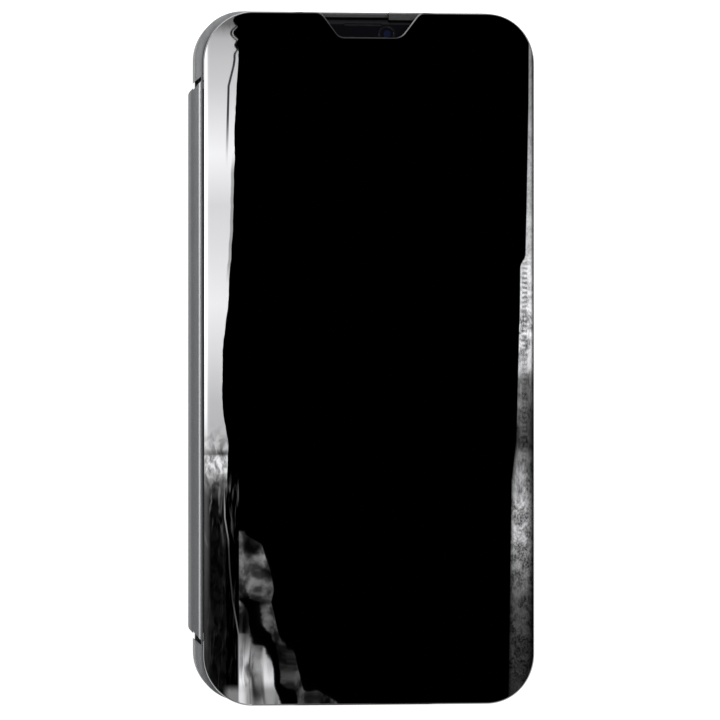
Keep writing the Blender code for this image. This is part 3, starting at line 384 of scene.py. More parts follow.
# ---------------------------------------------------------------- handset: side keys
# Two keys are milled from the frame's own bar and anodised with it. Each has a flange behind the wall
# that keeps it in, and a crowned head that stands just proud of the frame.


def rounded_rectangle(width, length, radius, steps):
    """Points anticlockwise round a rectangle with round corners, centred on the origin."""
    points = []
    for corner, (side_x, side_y) in enumerate(((1, 1), (-1, 1), (-1, -1), (1, -1))):
        for step in range(steps + 1):
            angle = (corner + step / steps) * math.pi / 2
            points.append((
                side_x * (width / 2 - radius) + radius * math.cos(angle),
                side_y * (length / 2 - radius) + radius * math.sin(angle)))
    return points


def lofted(name, rings, closed=False):
    """A body through rings of points with as many points each: capped, or closed on itself as a hoop is."""
    body = bmesh.new()
    loops = [[body.verts.new(point) for point in ring] for ring in rings]
    pairs = list(zip(loops, loops[1:]))
    if closed:
        pairs.append((loops[-1], loops[0]))
    else:
        body.faces.new(reversed(loops[0]))
        body.faces.new(loops[-1])
    for low, high in pairs:
        for i in range(len(low)):
            j = (i + 1) % len(low)
            body.faces.new((low[i], low[j], high[j], high[i]))
    bmesh.ops.remove_doubles(body, verts=body.verts, dist=1e-6)
    return mesh_piece(name, body)


def layers(width, length, radius, levels, centre, steps=14):
    """Rings of a rounded rectangle, each drawn in by its inset at its height."""
    rings = []
    for inset, height in levels:
        corner = max(radius - inset, 0.02 * mm)
        outline = rounded_rectangle(width - 2 * inset, length - 2 * inset, corner, steps)
        rings.append([(centre[0] + x, centre[1] + y, height) for x, y in outline])
    return rings


def quarter(start, end, steps=5):
    """Levels along a quarter ellipse, from a wall that stands upright to a face that lies flat."""
    levels = []
    for step in range(steps + 1):
        angle = math.pi / 2 * step / steps
        inset = start[0] + (end[0] - start[0]) * (1 - math.cos(angle))
        height = start[1] + (end[1] - start[1]) * math.sin(angle)
        levels.append((inset, height))
    return levels


flange_reach = 0.8 * mm
for node in ("power_button", "volume_rocker"):
    low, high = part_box(node)
    middle = (low + high) / 2
    flange = 0.5 * mm
    head_width = high.z - low.z - 1.0 * mm
    head_length = high.y - low.y - 2 * flange_reach
    depth = high.x - low.x
    rings = layers(
        high.z - low.z, high.y - low.y, 1.0 * mm,
        ((0.1 * mm, 0.0), (0.0, 0.1 * mm), (0.0, flange)), (0, 0))
    rings += layers(
        head_width, head_length, head_width / 2 - 0.02 * mm,
        [(0.0, flange)] + quarter((0.0, depth - 0.3 * mm), (0.45 * mm, depth)), (0, 0))
    turned = [[(low.x + z, middle.y + y, middle.z - x) for x, y, z in ring] for ring in rings]
    settle(lofted(f"{node}_cap", turned), anodised, node, "anodised_aluminium", node)

# ---------------------------------------------------------------- handset: glass, front and back
# Both glasses are toughened sheets with a polished round edge, printed black behind. The front has the
# selfie lens and the sound slot near its top, and a woven steel gauze closes the slot.


def scaled(point, shares):
    """The point with its X, Y and Z multiplied by these shares."""
    made = add(point.id_data, "ShaderNodeVectorMath", {"operation": "MULTIPLY"}, {0: point, 1: shares})
    return made.outputs[0]


def from_line(point, x, y):
    """How far the point is from an upright line that stands at x and y."""
    ends = {0: scaled(point, (1, 1, 0)), 1: (x, y, 0)}
    return add(point.id_data, "ShaderNodeVectorMath", {"operation": "DISTANCE"}, ends).outputs["Value"]


def glass_finish():
    """Black-backed glass with the lens behind it, and the faint smears that hands leave."""
    made, shader, point = finish_of("black_backed_toughened_glass", IOR=1.52)
    low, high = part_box("front_camera")
    middle = (low + high) / 2 / mm
    away = from_line(point, middle.x, middle.y)
    ring = times(between(away, 1.5, 1.6), between(away, 1.85, 1.95, 1.0, 0.0))
    pupil = between(away, 0.7, 0.9, 1.0, 0.0)
    smear = noise(point, 22.0, 4.0, 0.6)
    sheet = blended(smear, "040405", "07070a")
    colour = blended(ring, sheet, "0b0b0d")
    wire(shader, Base_Color=blended(pupil, colour, "0a0c1c"))
    wire(shader, Roughness=between(smear, 0.35, 0.7, 0.03, 0.07))
    raised(shader, ring, 0.01)
    return made


black_glass = glass_finish()
dress("cover_glass", black_glass)
dress("back_glass", textured(
    "black_backed_rear_glass", "050506", "09090b", 26.0, (0.04, 0.09), 0.5, 0.0005, IOR=1.52))


def gauze_finish():
    """Plain-woven steel wire, a fifth of a millimetre apart."""
    made, shader, point = finish_of("woven_steel_gauze", Metallic=1.0, Roughness=0.42)
    weave = []
    for direction in ("X", "Y"):
        wires = add(
            made.node_tree, "ShaderNodeTexWave", {"bands_direction": direction},
            {"Vector": point, "Scale": 1.6})
        weave.append(wires.outputs["Fac"])
    crest = calc("MAXIMUM", *weave)
    wire(shader, Base_Color=blended(between(crest, 0.5, 0.8), "050506", "4a4b4f"))
    raised(shader, crest, 0.03)
    return made


gauze = gauze_finish()
frame_low, frame_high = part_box("phone_frame")
glass_low, glass_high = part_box("cover_glass")
slot_y = frame_high.y - 1.8 * mm
earpiece_gauze = lofted("earpiece_gauze", layers(
    8.8 * mm, 0.6 * mm, 0.28 * mm,
    ((0.0, glass_low.z + 0.1 * mm), (0.0, glass_high.z - 0.25 * mm), (0.05 * mm, glass_high.z - 0.2 * mm)),
    ((frame_low.x + frame_high.x) / 2, slot_y), steps=8))
settle(earpiece_gauze, gauze, "shell_and_handset", "stainless_steel")

# ---------------------------------------------------------------- handset: rear cameras
# A turned and polished ring is glued in the rear glass and carries the cover glass of the two lenses.
# Behind it each lens shows its black baffle, its coated front element and its small aperture. The flash
# has a clear window with moulded rings.

ring_low, ring_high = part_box("camera_ring")
ring_middle = ((ring_low.x + ring_high.x) / 2, (ring_low.y + ring_high.y) / 2)
ring_width = ring_high.x - ring_low.x
ring_length = ring_high.y - ring_low.y
ring_radius = ring_width / 2 - 0.05 * mm
wall = 0.8 * mm
section = (
    [(0.0, ring_high.z), (0.0, ring_low.z + 0.3 * mm)]
    + [(0.3 * mm * (1 - math.cos(a)), ring_low.z + 0.3 * mm * (1 - math.sin(a)))
       for a in (math.pi / 8, math.pi / 4, 3 * math.pi / 8, math.pi / 2)]
    + [(wall - 0.1 * mm, ring_low.z), (wall, ring_low.z + 0.1 * mm), (wall, ring_high.z)])
camera_ring = lofted(
    "camera_ring_polished",
    layers(ring_width, ring_length, ring_radius, section, ring_middle, steps=24), closed=True)
settle(camera_ring, textured(
    "polished_anodised_ring", "242528", "303135", 4.0, (0.14, 0.22), 0.2, 0.001, Metallic=1.0),
    "shell_and_handset", "anodised_aluminium", "camera_ring")

pane_low, pane_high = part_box("camera_glass")
pane = lofted("camera_glass_pane", layers(
    pane_high.x - pane_low.x, pane_high.y - pane_low.y, (pane_high.x - pane_low.x) / 2 - 0.05 * mm,
    ((0.12 * mm, pane_low.z), (0.0, pane_low.z + 0.12 * mm), (0.0, pane_high.z)), ring_middle, steps=24))
lens_spots = []
for node in ("rear_camera_main", "rear_camera_wide"):
    low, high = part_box(node)
    lens_spots.append(((low.x + high.x) / 2 / mm, (low.y + high.y) / 2 / mm))


def lens_pane_finish():
    """Glass printed black between its lenses, with a coated element in the middle of each."""
    made, shader, point = finish_of("coated_lens_pane", IOR=1.52)
    nearest = calc("MINIMUM", *[from_line(point, x, y) for x, y in lens_spots])
    reach = 4.0
    ramp = add(made.node_tree, "ShaderNodeValToRGB", None, {"Fac": calc("DIVIDE", nearest, reach)})
    stops = ((0.0, "010103"), (0.19, "04040c"), (0.2, "141a3a"), (0.4, "0b1026"), (0.42, "020203"),
             (0.6, "030304"), (0.62, "1c1d20"), (0.68, "26272a"), (0.7, "050506"))
    ramp.color_ramp.elements[0].color = linear(stops[0][1])
    ramp.color_ramp.elements[1].position = 1.0
    ramp.color_ramp.elements[1].color = linear("060607")
    for position, colour in stops[1:]:
        ramp.color_ramp.elements.new(position).color = linear(colour)
    wire(shader, Base_Color=ramp.outputs["Color"])
    smear = noise(point, 3.0)
    wire(shader, Roughness=between(smear, 0.3, 0.7, 0.02, 0.05))
    raised(shader, between(nearest, 0.8, 1.7), 0.05)
    return made


settle(pane, lens_pane_finish(), "shell_and_handset", "lens_glass", "camera_glass")

flash_low, flash_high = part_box("flash_window")
flash_middle = (flash_low + flash_high) / 2
flash_radius = (flash_high.x - flash_low.x) / 2
chamfer = 0.1 * mm
flash_profile = [
    (flash_radius, flash_high.z), (flash_radius, flash_low.z + chamfer),
    (flash_radius - chamfer, flash_low.z)]
for ridge in (0.3, 0.7, 1.1):
    flash_profile.append((flash_radius - ridge * mm, flash_low.z))
    flash_profile.append((flash_radius - (ridge + 0.1) * mm, flash_low.z + 0.08 * mm))
flash_profile.append((0.2 * mm, flash_low.z + 0.02 * mm))
round_turns = [2 * math.pi * step / 40 for step in range(40)]
rings = [
    [(flash_middle.x + radius * math.cos(turn), flash_middle.y + radius * math.sin(turn), height)
     for turn in round_turns]
    for radius, height in flash_profile]
settle(lofted("flash_window_lens", rings), textured(
    "ringed_diffuser", "b9b6a6", "d8d5c6", 1.0, (0.16, 0.28), 0.1, 0.004, IOR=1.49,
    Transmission_Weight=0.25), "shell_and_handset", "flash_diffuser", "flash_window")

# ---------------------------------------------------------------- case: back shell
# One injection-moulded tray of grey polycarbonate holds the handset by its four corners. It is open at
# the bottom edge, at the side keys, round the cameras and all along the spine. Its outer face is spark
# textured. A painted highlight lightens its rounded top edges, and painted shade darkens its top wall inside
# the notch.


def carved(piece, *cutters):
    """Takes the cutters out of the piece, and then throws them away."""
    for cutter in cutters:
        modifier = piece.modifiers.new(cutter.name, "BOOLEAN")
        modifier.operation = "DIFFERENCE"
        modifier.solver = "EXACT"
        modifier.object = cutter
    applied(piece)
    for cutter in cutters:
        bpy.data.objects.remove(cutter, do_unlink=True)


def softened(piece, width, angle=40.0):
    """Rounds the piece's sharp edges by this much and evens out its shading."""
    bevel = piece.modifiers.new("softened_edges", "BEVEL")
    bevel.width = width
    bevel.segments = 2
    bevel.limit_method = "ANGLE"
    bevel.angle_limit = math.radians(angle)
    evened = piece.modifiers.new("evened_shading", "WEIGHTED_NORMAL")
    evened.keep_sharp = True
    applied(piece)


shell_low, shell_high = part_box("case_back_shell")
shell_middle = (shell_low + shell_high) / 2
shell_width = shell_high.x - shell_low.x
shell_length = shell_high.y - shell_low.y
frame_middle = (frame_low + frame_high) / 2
handset_width = frame_high.x - frame_low.x
handset_length = frame_high.y - frame_low.y
handset_corner = 9.9 * mm
shell_wall = (shell_width - handset_width) / 2
shell_corner = handset_corner + shell_wall
shell_back = 1.2 * mm
kerb = shell_back + 0.4 * mm
shell_top = shell_high.z
past = 2.0 * mm
base_round = 1.3 * mm
lip_round = 0.4 * mm
base_edge = [
    (inset, base_round - height)
    for inset, height in reversed(quarter((0.0, 0.0), (base_round, base_round), 7))]
lip_edge = quarter((0.0, shell_top - lip_round), (lip_round, shell_top), 4)
shell = lofted("back_shell_moulding", layers(
    shell_width, shell_length, shell_corner, base_edge + lip_edge, shell_middle, steps=24))
handset_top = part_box("cover_glass")[1].z
play = 0.1 * mm
lip_reach = 0.6 * mm
pocket = lofted("pocket", layers(
    handset_width, handset_length, handset_corner,
    ((-play, shell_back), (-play, handset_top - 1.1 * mm), (lip_reach, handset_top - 0.3 * mm),
     (lip_reach, shell_top + past)), frame_middle, steps=24))
spine_low, spine_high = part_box("spine_cover")
inner = shell_low.x + shell_wall - play
gap_profile = (
    (shell_low.x - past, -past), (shell_low.x + 0.5 * mm, -past), (shell_low.x + 0.5 * mm, kerb),
    (inner + 0.3 * mm, kerb), (inner + 0.3 * mm, shell_top + past), (shell_low.x - past, shell_top + past))
slant = 1.0 * mm
gap_rings = []
for end, side in ((spine_low.y, -1), (spine_high.y, 1)):
    gap_rings.append([
        (x, end + side * (1.5 * mm + slant * (x - shell_low.x) / shell_wall), z) for x, z in gap_profile])
spine_gap = lofted("spine_gap", gap_rings)
bottom_gap = lofted("bottom_gap", layers(
    shell_width - 2 * (shell_corner - 3.1 * mm), 4 * shell_wall, 1.0 * mm,
    ((0.0, kerb), (0.0, shell_top + past)), (shell_middle.x, shell_low.y), steps=8))
key_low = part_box("power_button")[0].y + flange_reach - 10.0 * mm
key_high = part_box("volume_rocker")[1].y - flange_reach + 4.0 * mm
key_gap = lofted("key_gap", layers(
    4 * shell_wall, key_high - key_low, 1.0 * mm, ((0.0, kerb), (0.0, shell_top + past)),
    (shell_high.x, (key_low + key_high) / 2), steps=8))
camera_low = flash_middle.y - 5.0 * mm
camera_high = ring_high.y + 2.7 * mm
camera_gap = lofted("camera_gap", layers(
    ring_width + 5.0 * mm, camera_high - camera_low, ring_width / 2 + 1.5 * mm,
    ((-1.2 * mm, -0.1 * mm), (-0.4 * mm, 0.25 * mm), (0.0, 0.9 * mm), (0.0, shell_back + 0.3 * mm)),
    (ring_middle[0], (camera_low + camera_high) / 2), steps=20))
lip_gap = lofted("lip_gap", layers(
    20.0 * mm, 6.0 * mm, 1.0 * mm, ((0.0, shell_top - 1.6 * mm), (0.0, shell_top + past)),
    (shell_middle.x - 4.0 * mm, shell_high.y), steps=8))
carved(shell, pocket, spine_gap, bottom_gap, key_gap, camera_gap, lip_gap)
softened(shell, 0.12 * mm)


def shell_finish():
    """Spark-textured polycarbonate, with a painted highlight along its rim's top and painted shade on the
    wall inside the cover's notch.
    """
    made, shader, point = finish_of("spark_textured_polycarbonate", IOR=1.58)
    spark = noise(point, 0.16, 4.0)
    drift = noise(point, 17.0, 3.0)
    # Painted highlight: the rim's top is lightened towards a pale grey, broken into streaks by stretched
    # noise.
    highlight_streaks = noise(scaled(point, (1.0, 0.12, 1.0)), 1.1, 4.0)
    place = split(point)
    rim_height = shell_top / mm
    painted_rim_highlight = between(place["Z"], rim_height - 0.4, rim_height - 0.1, 0.0, 0.35)
    body = blended(drift, "48494b", "515254")
    rim_highlighted_body = blended(times(painted_rim_highlight, highlight_streaks), body, "8e8f91")
    # Painted shade: the inner part of the top wall, in the middle where the notch shows it, is darkened to
    # near black.
    inward = less(cad_high.y / mm, place["Y"])
    painted_notch_shade = times(
        between(inward, 0.1, 0.5),
        times(between(place["Z"], 6.0, 8.0), between(calc("ABSOLUTE", place["X"]), 26.0, 22.0)))
    wire(shader, Base_Color=blended(painted_notch_shade, rim_highlighted_body, "1b1b1c"))
    wire(shader, Roughness=between(spark, 0.3, 0.7, 0.42, 0.58))
    raised(shader, spark, 0.012)
    return made


settle(shell, shell_finish(), "shell_and_handset", "shell_polycarbonate", "case_back_shell")

# ---------------------------------------------------------------- case: spine and its two folds
# The spine is a hard strip wrapped in grey soft-touch film. The film runs on past both edges of the
# strip as the two living folds, which are welded under the shell's back and under the cover's edge. It is
# pressed over its strip while warm, so it is slightly crowned and its ends are cut on a slant.


def swept(name, section, low_y, high_y, slant, rows=60):
    """A strip of this XZ section along Y, whose ends run out further the further right a point lies."""
    left = min(x for x, z in section)
    rings = []
    for row in range(rows + 1):
        share = row / rows
        reach = (2 * share - 1) * slant
        rings.append([
            (x, low_y + (high_y - low_y) * share + reach * (x - left), z) for x, z in section])
    return lofted(name, rings)


def soft_touch_finish():
    """Matt soft-touch film over fabric, with a fine pebble grain and a painted highlight line beside the
    cover.
    """
    made, shader, point = finish_of(
        "soft_touch_film", IOR=1.48, Sheen_Weight=0.12, Sheen_Roughness=0.45)
    pebbles = add(
        made.node_tree, "ShaderNodeTexVoronoi", {"feature": "SMOOTH_F1"},
        {"Vector": point, "Scale": 3.6, "Smoothness": 0.8}).outputs["Distance"]
    fine = noise(point, 0.14, 4.0)
    drift = noise(point, 12.0, 3.0)
    # Painted highlight: a thin lighter line along the front fold, just inside its edge by the cover.
    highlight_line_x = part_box("front_fold")[1].x / mm - 0.55
    line = between(apart(split(point)["X"], highlight_line_x), 0.08, 0.3, 1.0, 0.0)
    body = blended(drift, "48494b", "515254")
    speckled = blended(between(fine, 0.35, 0.75), body, "5c5d5f")
    wire(shader, Base_Color=blended(line, speckled, "a2a3a4"))
    wire(shader, Roughness=between(fine, 0.3, 0.7, 0.58, 0.74))
    raised(shader, calc("MULTIPLY_ADD", fine, 0.4, pebbles), 0.03)
    return made


soft_touch = soft_touch_finish()
spine_mid = (spine_low.z + spine_high.z) / 2
half_height = (spine_high.z - spine_low.z) / 2
crown = []
for step in range(13):
    share = -1 + 2 * step / 12
    bulge = 0.55 * mm * (1 - abs(share) ** 3.2)
    crown.append((spine_high.x - 0.25 * mm - bulge, spine_mid - half_height * share))
spine_section = [(spine_high.x, spine_high.z)] + crown + [(spine_high.x, spine_low.z)]
spine_skin = swept(
    "spine_skin", spine_section, spine_low.y + 0.9 * mm, spine_high.y - 0.9 * mm, slant=1.1)
settle(spine_skin, soft_touch, "spine", "soft_touch_skin", "spine_cover")
dress("spine_stiffener", textured(
    "pressed_fibre_board", "3a3a3b", "474747", 6.0, (0.6, 0.8), 0.3, 0.03, IOR=1.45))


def fold_section(centre, radius, first, last, thickness, tail=()):
    """A curved strip: an arc of this thickness, and a tail on its outer side."""
    turns = [math.radians(first + (last - first) * step / 12) for step in range(13)]
    outer = [(centre[0] + radius * math.cos(a), centre[1] + radius * math.sin(a)) for a in turns]
    inside = radius - thickness
    inner = [(centre[0] + inside * math.cos(a), centre[1] + inside * math.sin(a)) for a in turns]
    return outer + list(tail) + inner[::-1]


film = 0.6 * mm
back_low, back_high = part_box("back_fold")
back_radius = back_high.z - back_low.z
back_section = fold_section(
    (back_low.x + back_radius, back_high.z), back_radius, 180, 270, film,
    ((back_high.x + 0.1 * mm, back_low.z), (back_high.x + 0.1 * mm, back_low.z + film)))
back_fold = swept("back_fold_skin", back_section, back_low.y, back_high.y, slant=0.0)
back_fold.data.materials.append(soft_touch)
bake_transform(back_fold)
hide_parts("back_fold")

front_low, front_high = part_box("front_fold")
front_radius = front_high.z - front_low.z
edge = front_high.x - 0.3 * mm
tongue_end = front_high.x + 0.04 * mm
tongue_foot = front_high.z - film
tongue_top = tongue_foot + 0.2 * mm
front_section = fold_section(
    (front_low.x + front_radius, front_low.z), front_radius, 180, 90, film,
    ((edge - 0.45 * mm, front_high.z + 0.02 * mm), (edge - 0.25 * mm, front_high.z + 0.06 * mm),
     (edge - 0.08 * mm, front_high.z), (edge, front_high.z - 0.14 * mm), (edge, tongue_top),
     (tongue_end, tongue_top), (tongue_end, tongue_foot)))
front_fold = swept(
    "front_fold_skin", front_section, front_low.y + 0.2 * mm, front_high.y - 0.2 * mm, slant=1.15)
front_fold.data.materials.append(soft_touch)
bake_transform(front_fold)
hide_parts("front_fold")

# ---------------------------------------------------------------- case: front cover
# The cover is a clear polycarbonate plate, vacuum plated on its back with a smoked mirror film. Its long
# edges are heat-formed downwards, its rim is flame polished, and a notch for the earpiece and the lens is
# cut in its top edge. A microfibre lined board is glued in its back.

dress("cover_liner", textured(
    "napped_microfibre", "141415", "1f1f20", 2.5, (0.85, 1.0), 0.11, 0.05, Sheen_Weight=0.5,
    Sheen_Roughness=0.5, IOR=1.4))

panel_low, panel_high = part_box("cover_mirror_panel")
panel_middle = (panel_low + panel_high) / 2
panel_half = (panel_high.x - panel_low.x) / 2
curve_width = 8.2 * mm
curve_drop = 1.9 * mm
curve_radius = (curve_width ** 2 + curve_drop ** 2) / (2 * curve_drop)
rim_width = 1.3 * mm
rim_bottom = panel_low.z
plate_bottom = panel_high.z - 1.6 * mm
panel_corner = 11.5 * mm
notch_depth = 5.7 * mm
notch_half_top = 11.45 * mm
notch_half_flat = 7.1 * mm


def face_height(x):
    """The polished face's level and slope at a point across the cover."""
    past_flat = abs(x - panel_middle.x) - (panel_half - curve_width)
    if past_flat <= 0:
        return panel_high.z, 0.0
    drop = curve_radius - math.sqrt(curve_radius ** 2 - past_flat ** 2)
    slope = past_flat / math.sqrt(curve_radius ** 2 - past_flat ** 2)
    return panel_high.z - drop, -slope if x > panel_middle.x else slope


def back_height(x):
    """The underside's level: a flat back between two rims that stand down from it."""
    inside_rim = (panel_half - rim_width - abs(x - panel_middle.x)) / (1.0 * mm)
    return rim_bottom + (plate_bottom - rim_bottom) * min(max(inside_rim, 0.0), 1.0)


def filleted_outline(corners, spacing):
    """Points round a closed outline: each corner (x, y, radius) is an arc, and gaps keep to the spacing."""
    arcs = []
    for i, (x, y, radius) in enumerate(corners):
        here = Vector((x, y))
        back = (Vector(corners[i - 1][:2]) - here).normalized()
        on = (Vector(corners[(i + 1) % len(corners)][:2]) - here).normalized()
        half = back.angle(on) / 2
        centre = here + (back + on).normalized() * (radius / math.sin(half))
        start = (here + back * (radius / math.tan(half)) - centre).normalized()
        end = (here + on * (radius / math.tan(half)) - centre).normalized()
        steps = max(8, int(start.angle(end) * radius / (0.4 * mm)))
        arcs.append([centre + start.slerp(end, step / steps) * radius for step in range(steps + 1)])
    outline = []
    for i, arc in enumerate(arcs):
        outline += arc
        first = arcs[(i + 1) % len(arcs)][0]
        count = int((first - arc[-1]).length / spacing)
        outline += [arc[-1].lerp(first, step / (count + 1)) for step in range(1, count + 1)]
    return np.array([tuple(point) for point in outline])


left, right = panel_low.x, panel_high.x
bottom, top = panel_low.y, panel_high.y
panel_outline = filleted_outline((
    (right, bottom, panel_corner), (right, top, panel_corner),
    (panel_middle.x + notch_half_top, top, 2.6 * mm),
    (panel_middle.x + notch_half_flat, top - notch_depth, 3.0 * mm),
    (panel_middle.x - notch_half_flat, top - notch_depth, 2.2 * mm),
    (panel_middle.x - notch_half_top, top, 2.6 * mm),
    (left, top, panel_corner), (left, bottom, panel_corner)), 1.2 * mm)
ahead = np.roll(panel_outline, -1, axis=0) - np.roll(panel_outline, 1, axis=0)
outward = np.stack((ahead[:, 1], -ahead[:, 0]), axis=1)
outward /= np.linalg.norm(outward, axis=1)[:, None]
polish = 0.36 * mm
inset_outline = panel_outline - outward * polish

curved = np.arange(0.0, curve_width, 0.3 * mm)
columns = np.concatenate((
    left + curved, np.linspace(left + curve_width, right - curve_width, 26), right - curved[::-1]))
rows = np.arange(bottom, top, 1.4 * mm)
grid = np.array([(x, y) for x in columns for y in rows])


def inside(points, outline, margin):
    """Which points lie inside the outline, at least this far from it."""
    ends = np.roll(outline, -1, axis=0)
    kept = []
    for x, y in points:
        crossing = (outline[:, 1] > y) != (ends[:, 1] > y)
        run = ends[crossing] - outline[crossing]
        cut_x = outline[crossing][:, 0] + run[:, 0] * (y - outline[crossing][:, 1]) / run[:, 1]
        if np.count_nonzero(cut_x > x) % 2 == 0:
            continue
        if np.hypot(outline[:, 0] - x, outline[:, 1] - y).min() > margin:
            kept.append((x, y))
    return kept


grid = inside(grid, inset_outline, 0.35 * mm)


def faced(outline, levels):
    """Triangles over the outline, with the grid's points inside it; its vertices come outline first."""
    points = [Vector(p) for p in outline] + [Vector(p) for p in grid]
    ring = list(range(len(outline)))
    found = geometry.delaunay_2d_cdt(points, [], [ring], 1, 1e-7)
    place = {}
    for new, olds in enumerate(found[3]):
        for old in olds:
            place[old] = new
    vertices = [(x, y, levels(x)) for x, y in found[0]]
    return vertices, [tuple(face) for face in found[2]], [place[i] for i in ring]


def mirror_plate():
    """The plate with its polished rim; the face's own slope gives its normals, so it mirrors cleanly."""
    top_points, top_faces, top_ring = faced(inset_outline, lambda x: face_height(x)[0])
    low_points, low_faces, low_ring = faced(panel_outline, back_height)
    vertices = list(top_points)
    faces = [(face, "face") for face in top_faces]
    rims = [top_ring]
    for turn in (22.5, 45.0, 67.5, 90.0):
        angle = math.radians(turn)
        outset = polish * math.sin(angle)
        drop = 0.2 * mm * (1 - math.cos(angle))
        start = len(vertices)
        for (x, y), (out_x, out_y) in zip(inset_outline, outward):
            vertices.append((x + out_x * outset, y + out_y * outset, face_height(x)[0] - drop))
        rims.append(list(range(start, start + len(inset_outline))))
    start = len(vertices)
    vertices += low_points
    faces += [(tuple(start + i for i in reversed(face)), "back") for face in low_faces]
    rims.append([start + i for i in low_ring])
    count = len(inset_outline)
    for upper, lower in zip(rims, rims[1:]):
        for i in range(count):
            j = (i + 1) % count
            faces.append(((upper[i], lower[i], lower[j], upper[j]), "rim"))
    mesh = bpy.data.meshes.new("mirror_plate")
    mesh.from_pydata(vertices, [], [face for face, part in faces])
    mesh.validate()
    mesh.shade_smooth()
    ring_place = {}
    for level, rim in enumerate(rims):
        for i, vertex in enumerate(rim):
            ring_place[vertex] = (level, i)
    normals = []
    for polygon, (_, part) in zip(mesh.polygons, faces):
        for index in polygon.vertices:
            x = vertices[index][0]
            slope = face_height(x)[1]
            up = Vector((-slope, 0.0, 1.0)).normalized()
            if part == "back":
                normals.append((0.0, 0.0, -1.0))
            elif part == "face":
                normals.append(tuple(up))
            else:
                level, i = ring_place[index]
                side = Vector((*outward[i], 0.0))
                angle = min(level, 4) * math.pi / 8
                normals.append(tuple((up * math.cos(angle) + side * math.sin(angle)).normalized()))
    mesh.normals_split_custom_set(normals)
    made = bpy.data.objects.new("mirror_plate", mesh)
    bpy.context.scene.collection.objects.link(made)
    return made


def mirror_finish():
    """Smoked vacuum plating under clear plastic, a little wavy, with faint smears, hairline scratches and
    painted shade on the bevel round the notch.
    """
    made, shader, point = finish_of("smoked_vacuum_plating", Metallic=1.0, IOR=1.58)
    smear = noise(point, 24.0, 4.0, 0.7)
    stretched = scaled(point, (1.0, 0.06, 1.0))
    hairs = noise(stretched, 0.35, 2.0)
    plated = blended(smear, "9a9a9b", "a0a0a2")
    facing = split(add(made.node_tree, "ShaderNodeTexCoord").outputs["Normal"])
    # Painted shade: the rim's bevel in the middle of the top edge is darkened, less where it faces the
    # spine's side.
    notch_edge_shade = times(
        between(facing["Z"], 0.97, 0.85),
        times(
            between(calc("ABSOLUTE", split(point)["X"]), 17.0, 14.5),
            between(facing["X"], -0.5, -0.2, 0.35, 1.0)))
    wire(shader, Base_Color=blended(notch_edge_shade, plated, "2e2e2f"))
    gloss = plus(between(smear, 0.45, 0.75, 0.006, 0.014), between(hairs, 0.7, 0.8, 0.0, 0.012))
    wire(shader, Roughness=gloss)
    waves = noise(stretched, 9.0, 1.0)
    raised(shader, waves, 0.012)
    return made


settle(mirror_plate(), mirror_finish(), "front_cover", "smoked_mirror", "cover_mirror_panel")

# ---------------------------------------------------------------- studio
# A plain white sweep of paper, two soft panels that light what is matt, and a dome that the mirror shows:
# dark above and pale near the floor, with a long soft box and a heap of clutter on the spine's side, and a
# window on the other.

floor_half = 2.5
floor_mesh = bpy.data.meshes.new("studio_floor")
floor_mesh.from_pydata(
    [(-floor_half, -floor_half, 0.0), (floor_half, -floor_half, 0.0), (floor_half, floor_half, 0.0),
     (-floor_half, floor_half, 0.0)], [], [(0, 1, 2, 3)])
studio_floor = bpy.data.objects.new("studio_floor", floor_mesh)
bpy.context.scene.collection.objects.link(studio_floor)
studio_floor.location.z = -0.05 * mm
paper, shader, point = finish_of(
    "white_paper_sweep", Roughness=0.9, IOR=1.3, Emission_Color=linear("ffffff"), Emission_Strength=0.9)
fibres = noise(point, 6.0, 4.0)
wire(shader, Base_Color=blended(fibres, "939393", "979797"))
studio_floor.data.materials.append(paper)


def soft_panel(name, size, energy, place):
    """A square light panel facing straight down, which no mirror shows."""
    lamp = bpy.data.lights.new(name, "AREA")
    lamp.shape = "SQUARE"
    lamp.size = size
    lamp.energy = energy
    hung = bpy.data.objects.new(name, lamp)
    hung.location = place
    hung.visible_glossy = False
    hung.visible_camera = False
    bpy.context.scene.collection.objects.link(hung)


soft_panel("overhead_panel", size=1.6, energy=14.0, place=(0.3, 0.0, 1.4))
soft_panel("near_panel", size=0.2, energy=1.7, place=(0.1, 0.22, 0.2))

lens_away = 1.0
seen_level = 10.5 * mm
seen_width = 166.27 * mm
view_tilt = math.radians(6.0)
aim = Vector((0.35 * mm, -0.45 * mm, 0.0))
camera_data = bpy.data.cameras.new("camera")
camera_data.sensor_width = 36.0
camera_data.lens = camera_data.sensor_width * (lens_away - seen_level) / seen_width
camera_data.clip_start = 0.05
camera = bpy.data.objects.new("camera", camera_data)
camera.location = aim + Vector((-math.sin(view_tilt), 0.0, math.cos(view_tilt))) * lens_away
camera.rotation_euler = (0.0, -view_tilt, 0.0)
bpy.context.scene.collection.objects.link(camera)
bpy.context.scene.camera = camera

dome = bpy.data.worlds.new("studio_dome")
dome.use_nodes = True
bpy.context.scene.world = dome
tree = dome.node_tree
background = tree.nodes["Background"]


def joined(x, y):
    """A point from its X and its Y."""
    return add(tree, "ShaderNodeCombineXYZ", None, {"X": x, "Y": y}).outputs[0]


# A ray's side_angle is in degrees from straight up, negative on the spine's side, and along is a thousand
# times its slope towards the cover's notch.
ray = add(tree, "ShaderNodeTexCoord").outputs["Generated"]
east, north, up = split(ray)
side_angle = calc("DEGREES", calc("ARCTAN2", east, up))
flat_run = calc("SQRT", plus(times(east, east), times(up, up)))
along = times(calc("DIVIDE", north, calc("MAXIMUM", flat_run, 0.001)), 1000.0)


